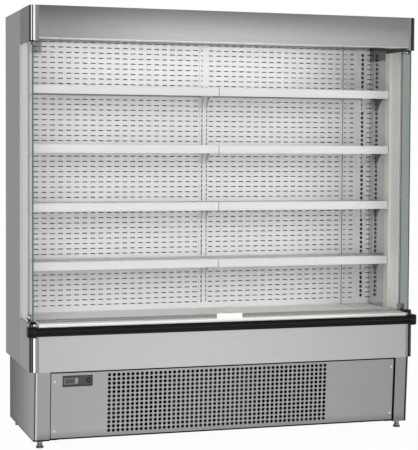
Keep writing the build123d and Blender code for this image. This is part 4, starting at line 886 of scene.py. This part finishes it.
# ---- rail joiners -------------------------------------------------------------------------------
# A narrow grey plastic clip in the joint between the ticket rails of the two bays. It rides on the
# left shelf, and its tail shows below the rails.
def rail_joiners():
    """A pierced sheet of two closed cells, the rail's height and the tail."""
    x0, x1, front, thick = 0.0104, 0.0136, -0.1095, 0.006
    first_top, shelf_pitch, rail, tail = 1.6585, 0.275, 0.0385, 0.045
    grey = coated("joiner_grey", (150, 150, 149))
    for row in range(4):
        high = first_top - shelf_pitch * row
        name = f"rail_joiner_{row + 1}"
        clip = add(name, *pierced([x0, x1], [high - tail, high - rail, high], [[False, False]],
                                  (0, front, 0), (1, 0, 0), (0, 0, 1), (0, thick, 0)),
                   f"shelf_{row + 1}_left")
        grey.on(name)


rail_joiners()


# ---- decks and return grille --------------------------------------------------------------------
# Two white-coated deck pans lie loose over the well. Before them, behind the nose, a coated steel
# frame with narrow slats across it takes the air back in; a folded rim stiffens it from below.
white.on("deck_left", "deck_right")


def return_grille():
    """Slats: a pierced sheet with two rows of long openings, once in each pitch. Rim: four sheets
    on edge under it."""
    x1, y0, y1 = 0.9045, -0.2825, -0.1365
    top, thick, rim_wall, rim_deep = 0.572, 0.006, 0.002, 0.018
    pitch, slat, bar, middle_bar = 0.0125, 0.0055, 0.010, 0.006
    count = int((2 * x1 - 2 * bar) / pitch)
    starts = -count * pitch / 2 + np.arange(count) * pitch
    gaps = np.sort(np.concatenate([starts + slat / 2, starts + pitch - slat / 2]))
    us = np.concatenate([[-x1], gaps, [x1]])
    middle = (y0 + y1) / 2
    vs = np.array([y0, y0 + bar, middle - middle_bar / 2, middle + middle_bar / 2, y1 - bar, y1])
    is_open = np.zeros((len(us) - 1, 5), bool)
    is_open[1::2, 1::2] = True
    slats = add("return_slats", *pierced(us, vs, is_open, (0, 0, top),
                                         (1, 0, 0), (0, 1, 0), (0, 0, -thick)))
    rim = [pierced([a[0], b[0]], [a[1], b[1]], [[False]], (0, 0, top - thick),
                   (1, 0, 0), (0, 1, 0), (0, 0, -rim_deep))
           for a, b in (((-x1, y0), (x1, y0 + rim_wall)), ((-x1, y1 - rim_wall), (x1, y1)),
                        ((-x1, y0), (-x1 + rim_wall, y1)), ((x1 - rim_wall, y0), (x1, y1)))]
    edge = add("return_rim", *joined(*rim))
    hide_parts("return_grille")
    slat_face = 0.5714
    grey = coated("grille_grey", (222, 222, 220)).on("return_slats", "return_rim")
    # Painted shade: below the slats' top face, their sides and the rim are dark.
    grey.shade(grey.place()[2].below(slat_face), (58, 58, 58))


return_grille()


# ---- canopy -------------------------------------------------------------------------------------
# The bowed stainless header is brushed along its length and folded back over the roof and under
# the lamp. Stainless ends and a white-coated lining close the canopy behind it.
header = brushed("header_steel", (180, 180, 180), 0.24, ALONG).on("header_front")
header_middle, header_half = 1.9315, 0.0735
x, y, z = header.place()
bow = (z - header_middle) / header_half
header.bump(1 - bow * bow, 0.0046)
# Painted light and shade: darker towards the top and towards the left end, paler high up on the
# right, and a painted highlight along the bottom hem.
header.shade(bow.ease(-0.9, 1.0), (160, 160, 160))
header.shade((1 - x.ease(-0.9, -0.3)) * 0.45, (110, 110, 110))
header.shade(x.ease(0.2, 0.9) * bow.ease(0.2, 1.0) * 0.5, (215, 215, 215))
header.shade(bow.below(-0.955), (214, 214, 214))
canopy_rear_highlight = -0.0640
# Painted shade: the canopy ends' steel is dark, and the pale strip along their rear edge is a
# painted highlight.
canopy = brushed("canopy_end_steel", (95, 95, 95), 0.34, UPRIGHT).on("canopy_ends")
canopy.shade(canopy.place()[1].above(canopy_rear_highlight), (176, 176, 176))
# In the back's finish the lining is darkened all over as painted shade.
white.on("canopy_lining")


# ---- air outlet ---------------------------------------------------------------------------------
# A honeycomb of small square cells in off-white plastic, set into the canopy behind the lamp. The
# curtain of cold air falls through it.
def air_outlet():
    """A pierced sheet with square openings in both directions, thin webs between them."""
    x1, y0, y1, cell, web = 0.905, -0.265, -0.169, 0.011, 0.0012
    top, thick = 1.8865, 0.020
    columns, rows = int((2 * x1 - 0.01) / cell), int((y1 - y0 - 0.006) / cell)
    grids = []
    for count, centre in ((columns, 0.0), (rows, (y0 + y1) / 2)):
        starts = centre - count * cell / 2 + np.arange(count) * cell
        grids.append(np.sort(np.concatenate([starts + web / 2, starts + cell - web / 2])))
    us = np.concatenate([[-x1], grids[0], [x1]])
    vs = np.concatenate([[y0], grids[1], [y1]])
    is_open = np.zeros((len(us) - 1, len(vs) - 1), bool)
    is_open[1::2, 1::2] = True
    outlet = add("outlet_cells", *pierced(us, vs, is_open, (0, 0, top),
                                          (1, 0, 0), (0, 1, 0), (0, 0, -thick)))
    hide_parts("air_honeycomb")
    coated("outlet_plastic", (232, 233, 230)).on("outlet_cells")


air_outlet()


# ---- lamp ---------------------------------------------------------------------------------------
# A half-round opal plastic cover with fine lengthwise prisms and grey end caps, lying on the lower
# fold of the canopy's front. The cover glows, and a long area light beside it lights the shelves.
def lamp():
    """The glow stops at the caps and ripples with the prisms, one ridge line in each pitch."""
    prism_pitch = 0.002
    opal = Look("lamp_diffuser", (250, 250, 248), 0.5, 0.0, Emission_Strength=3.0).on("lamp")
    x, y, z = opal.place()
    glow = 1 - x.size().ease(0.868, 0.872)
    ripple = glow * (0.94 + z.wave(prism_pitch) * 0.06)
    opal.set("Emission Color", opal.mix(ripple, (0, 0, 0), (255, 253, 250)))
    opal.bump(y.wave(prism_pitch), 0.0001)
    opal.shade(x.size().above(0.870), (170, 171, 172))

    light = bpy.data.lights.new("inside", "AREA")
    light.shape = "RECTANGLE"
    light.size, light.size_y = 1.4, 0.05
    light.energy = 0.8
    holder = bpy.data.objects.new("inside", light)
    holder.location = (-0.1, -0.09, 1.870)
    holder.rotation_euler = (radians(24), 0.0, 0.0)
    holder.visible_glossy = False
    bpy.context.scene.collection.objects.link(holder)


lamp()


# ---- rounded corners ----------------------------------------------------------------------------
# The upright corner sections of the header and of the lower front: foam-filled, skinned with
# polished steel in one large round, and with a flat strip towards the middle of the cabinet.
corner_polish = Look("corner_polish", (240, 240, 240), 0.05, 1.0)
corner_polish.on("header_corners", "lower_corners")
strip_edge, left_round, right_round = 0.9172, 0.9385, 0.9195
x = corner_polish.place()[0]
inner = x.size().below(strip_edge)
# Painted shade and reflection by side: the flat strip is darker on the left, and the outer parts of
# the rounds are dark, from further out on the left than on the right.
corner_polish.shade(inner, (164, 164, 164))
corner_polish.shade(inner * x.below(0), (148, 148, 148))
corner_polish.shade((x * -1).above(left_round), (50, 50, 50))
corner_polish.shade(x.above(right_round), (62, 62, 62))
corner_polish.set("Roughness", 0.06 + inner * 0.22)


# ---- end glazing --------------------------------------------------------------------------------
# Clear glass with ground green edges, gripped by a grey gasket in a pale aluminium channel. Cream
# plastic trims the channel towards the shelves, and chromed clamps hold each pane at foot and head.
def glass_channels():
    """The trim lies towards the shelves, behind the channel's face. Painted light makes the right
    channel paler, and palest low down."""
    trim_half, trim_front = 0.9192, -0.1095
    look = Look("pale_aluminium", (206, 206, 206), 0.38, 0.25).on("glass_channels")
    x, y, z = look.place()
    # Painted light: the right channel is paler, and palest low down.
    look.shade(x.above(0), (220, 219, 217))
    look.shade(x.above(0) * (1 - z.ease(0.62, 1.0)), (244, 244, 242))
    look.shade(x.size().below(trim_half) * y.above(trim_front), (222, 221, 212))
    look.bump(look.noise((900, 900, 6)), 0.00004)


def end_glasses():
    """Clear from the ground front edge to the gasket; the right side has painted shade and light.
    """
    ground_front, gasket_front, right_painted_light_front = -0.3025, -0.1985, -0.2100
    look = Look("clear_glass", (149, 155, 151), 0.02, Transmission_Weight=1.0, IOR=1.15)
    x, y, z = look.on("end_glasses").place()
    # Painted shade: the right pane is tinted much darker than the left.
    look.set("Base Color", look.mix(x.above(0), (214, 221, 217), (142, 148, 143)))
    # On the right, a pale strip in front of the gasket is painted over the glass as light, where
    # the channel's slot shows dark.
    right_painted_light = x.above(0) * y.above(right_painted_light_front) * y.below(gasket_front)
    look.over(y.below(ground_front), look.even((14, 84, 66), 0.15))
    look.over(y.above(gasket_front) + right_painted_light, look.even((168, 168, 165), 0.5))


glass_channels()
end_glasses()
brushed("chrome", (190, 191, 193), 0.14, (700, 700, 700)).on("glass_clips")


# ---- nose and bumper ----------------------------------------------------------------------------
# An off-white plastic channel with a price plate goes over the front wall of the well. Below it
# runs a black bumper rail with a shallow groove, and black moulded caps wrap its ends.
groove_height = 0.5395
nose = coated("nose_plastic", (240, 239, 234), 0.35).on("nose_strip")
# Painted shade: the nose greys towards its right end.
nose.shade(nose.place()[0].ease(0.45, 0.9) * 0.55, (158, 158, 156))
rail = moulded("bumper_black", (8, 8, 8), 0.3, Specular_IOR_Level=0.22)
rail.on("bumper", "bumper_caps")
groove = (rail.place()[2] - groove_height).size()
# Painted highlight: a lighter line along the groove.
rail.shade(1 - groove.ease(0.0010, 0.0028), (46, 46, 46))
rail.bump(groove.ease(0.001, 0.003), 0.0008)
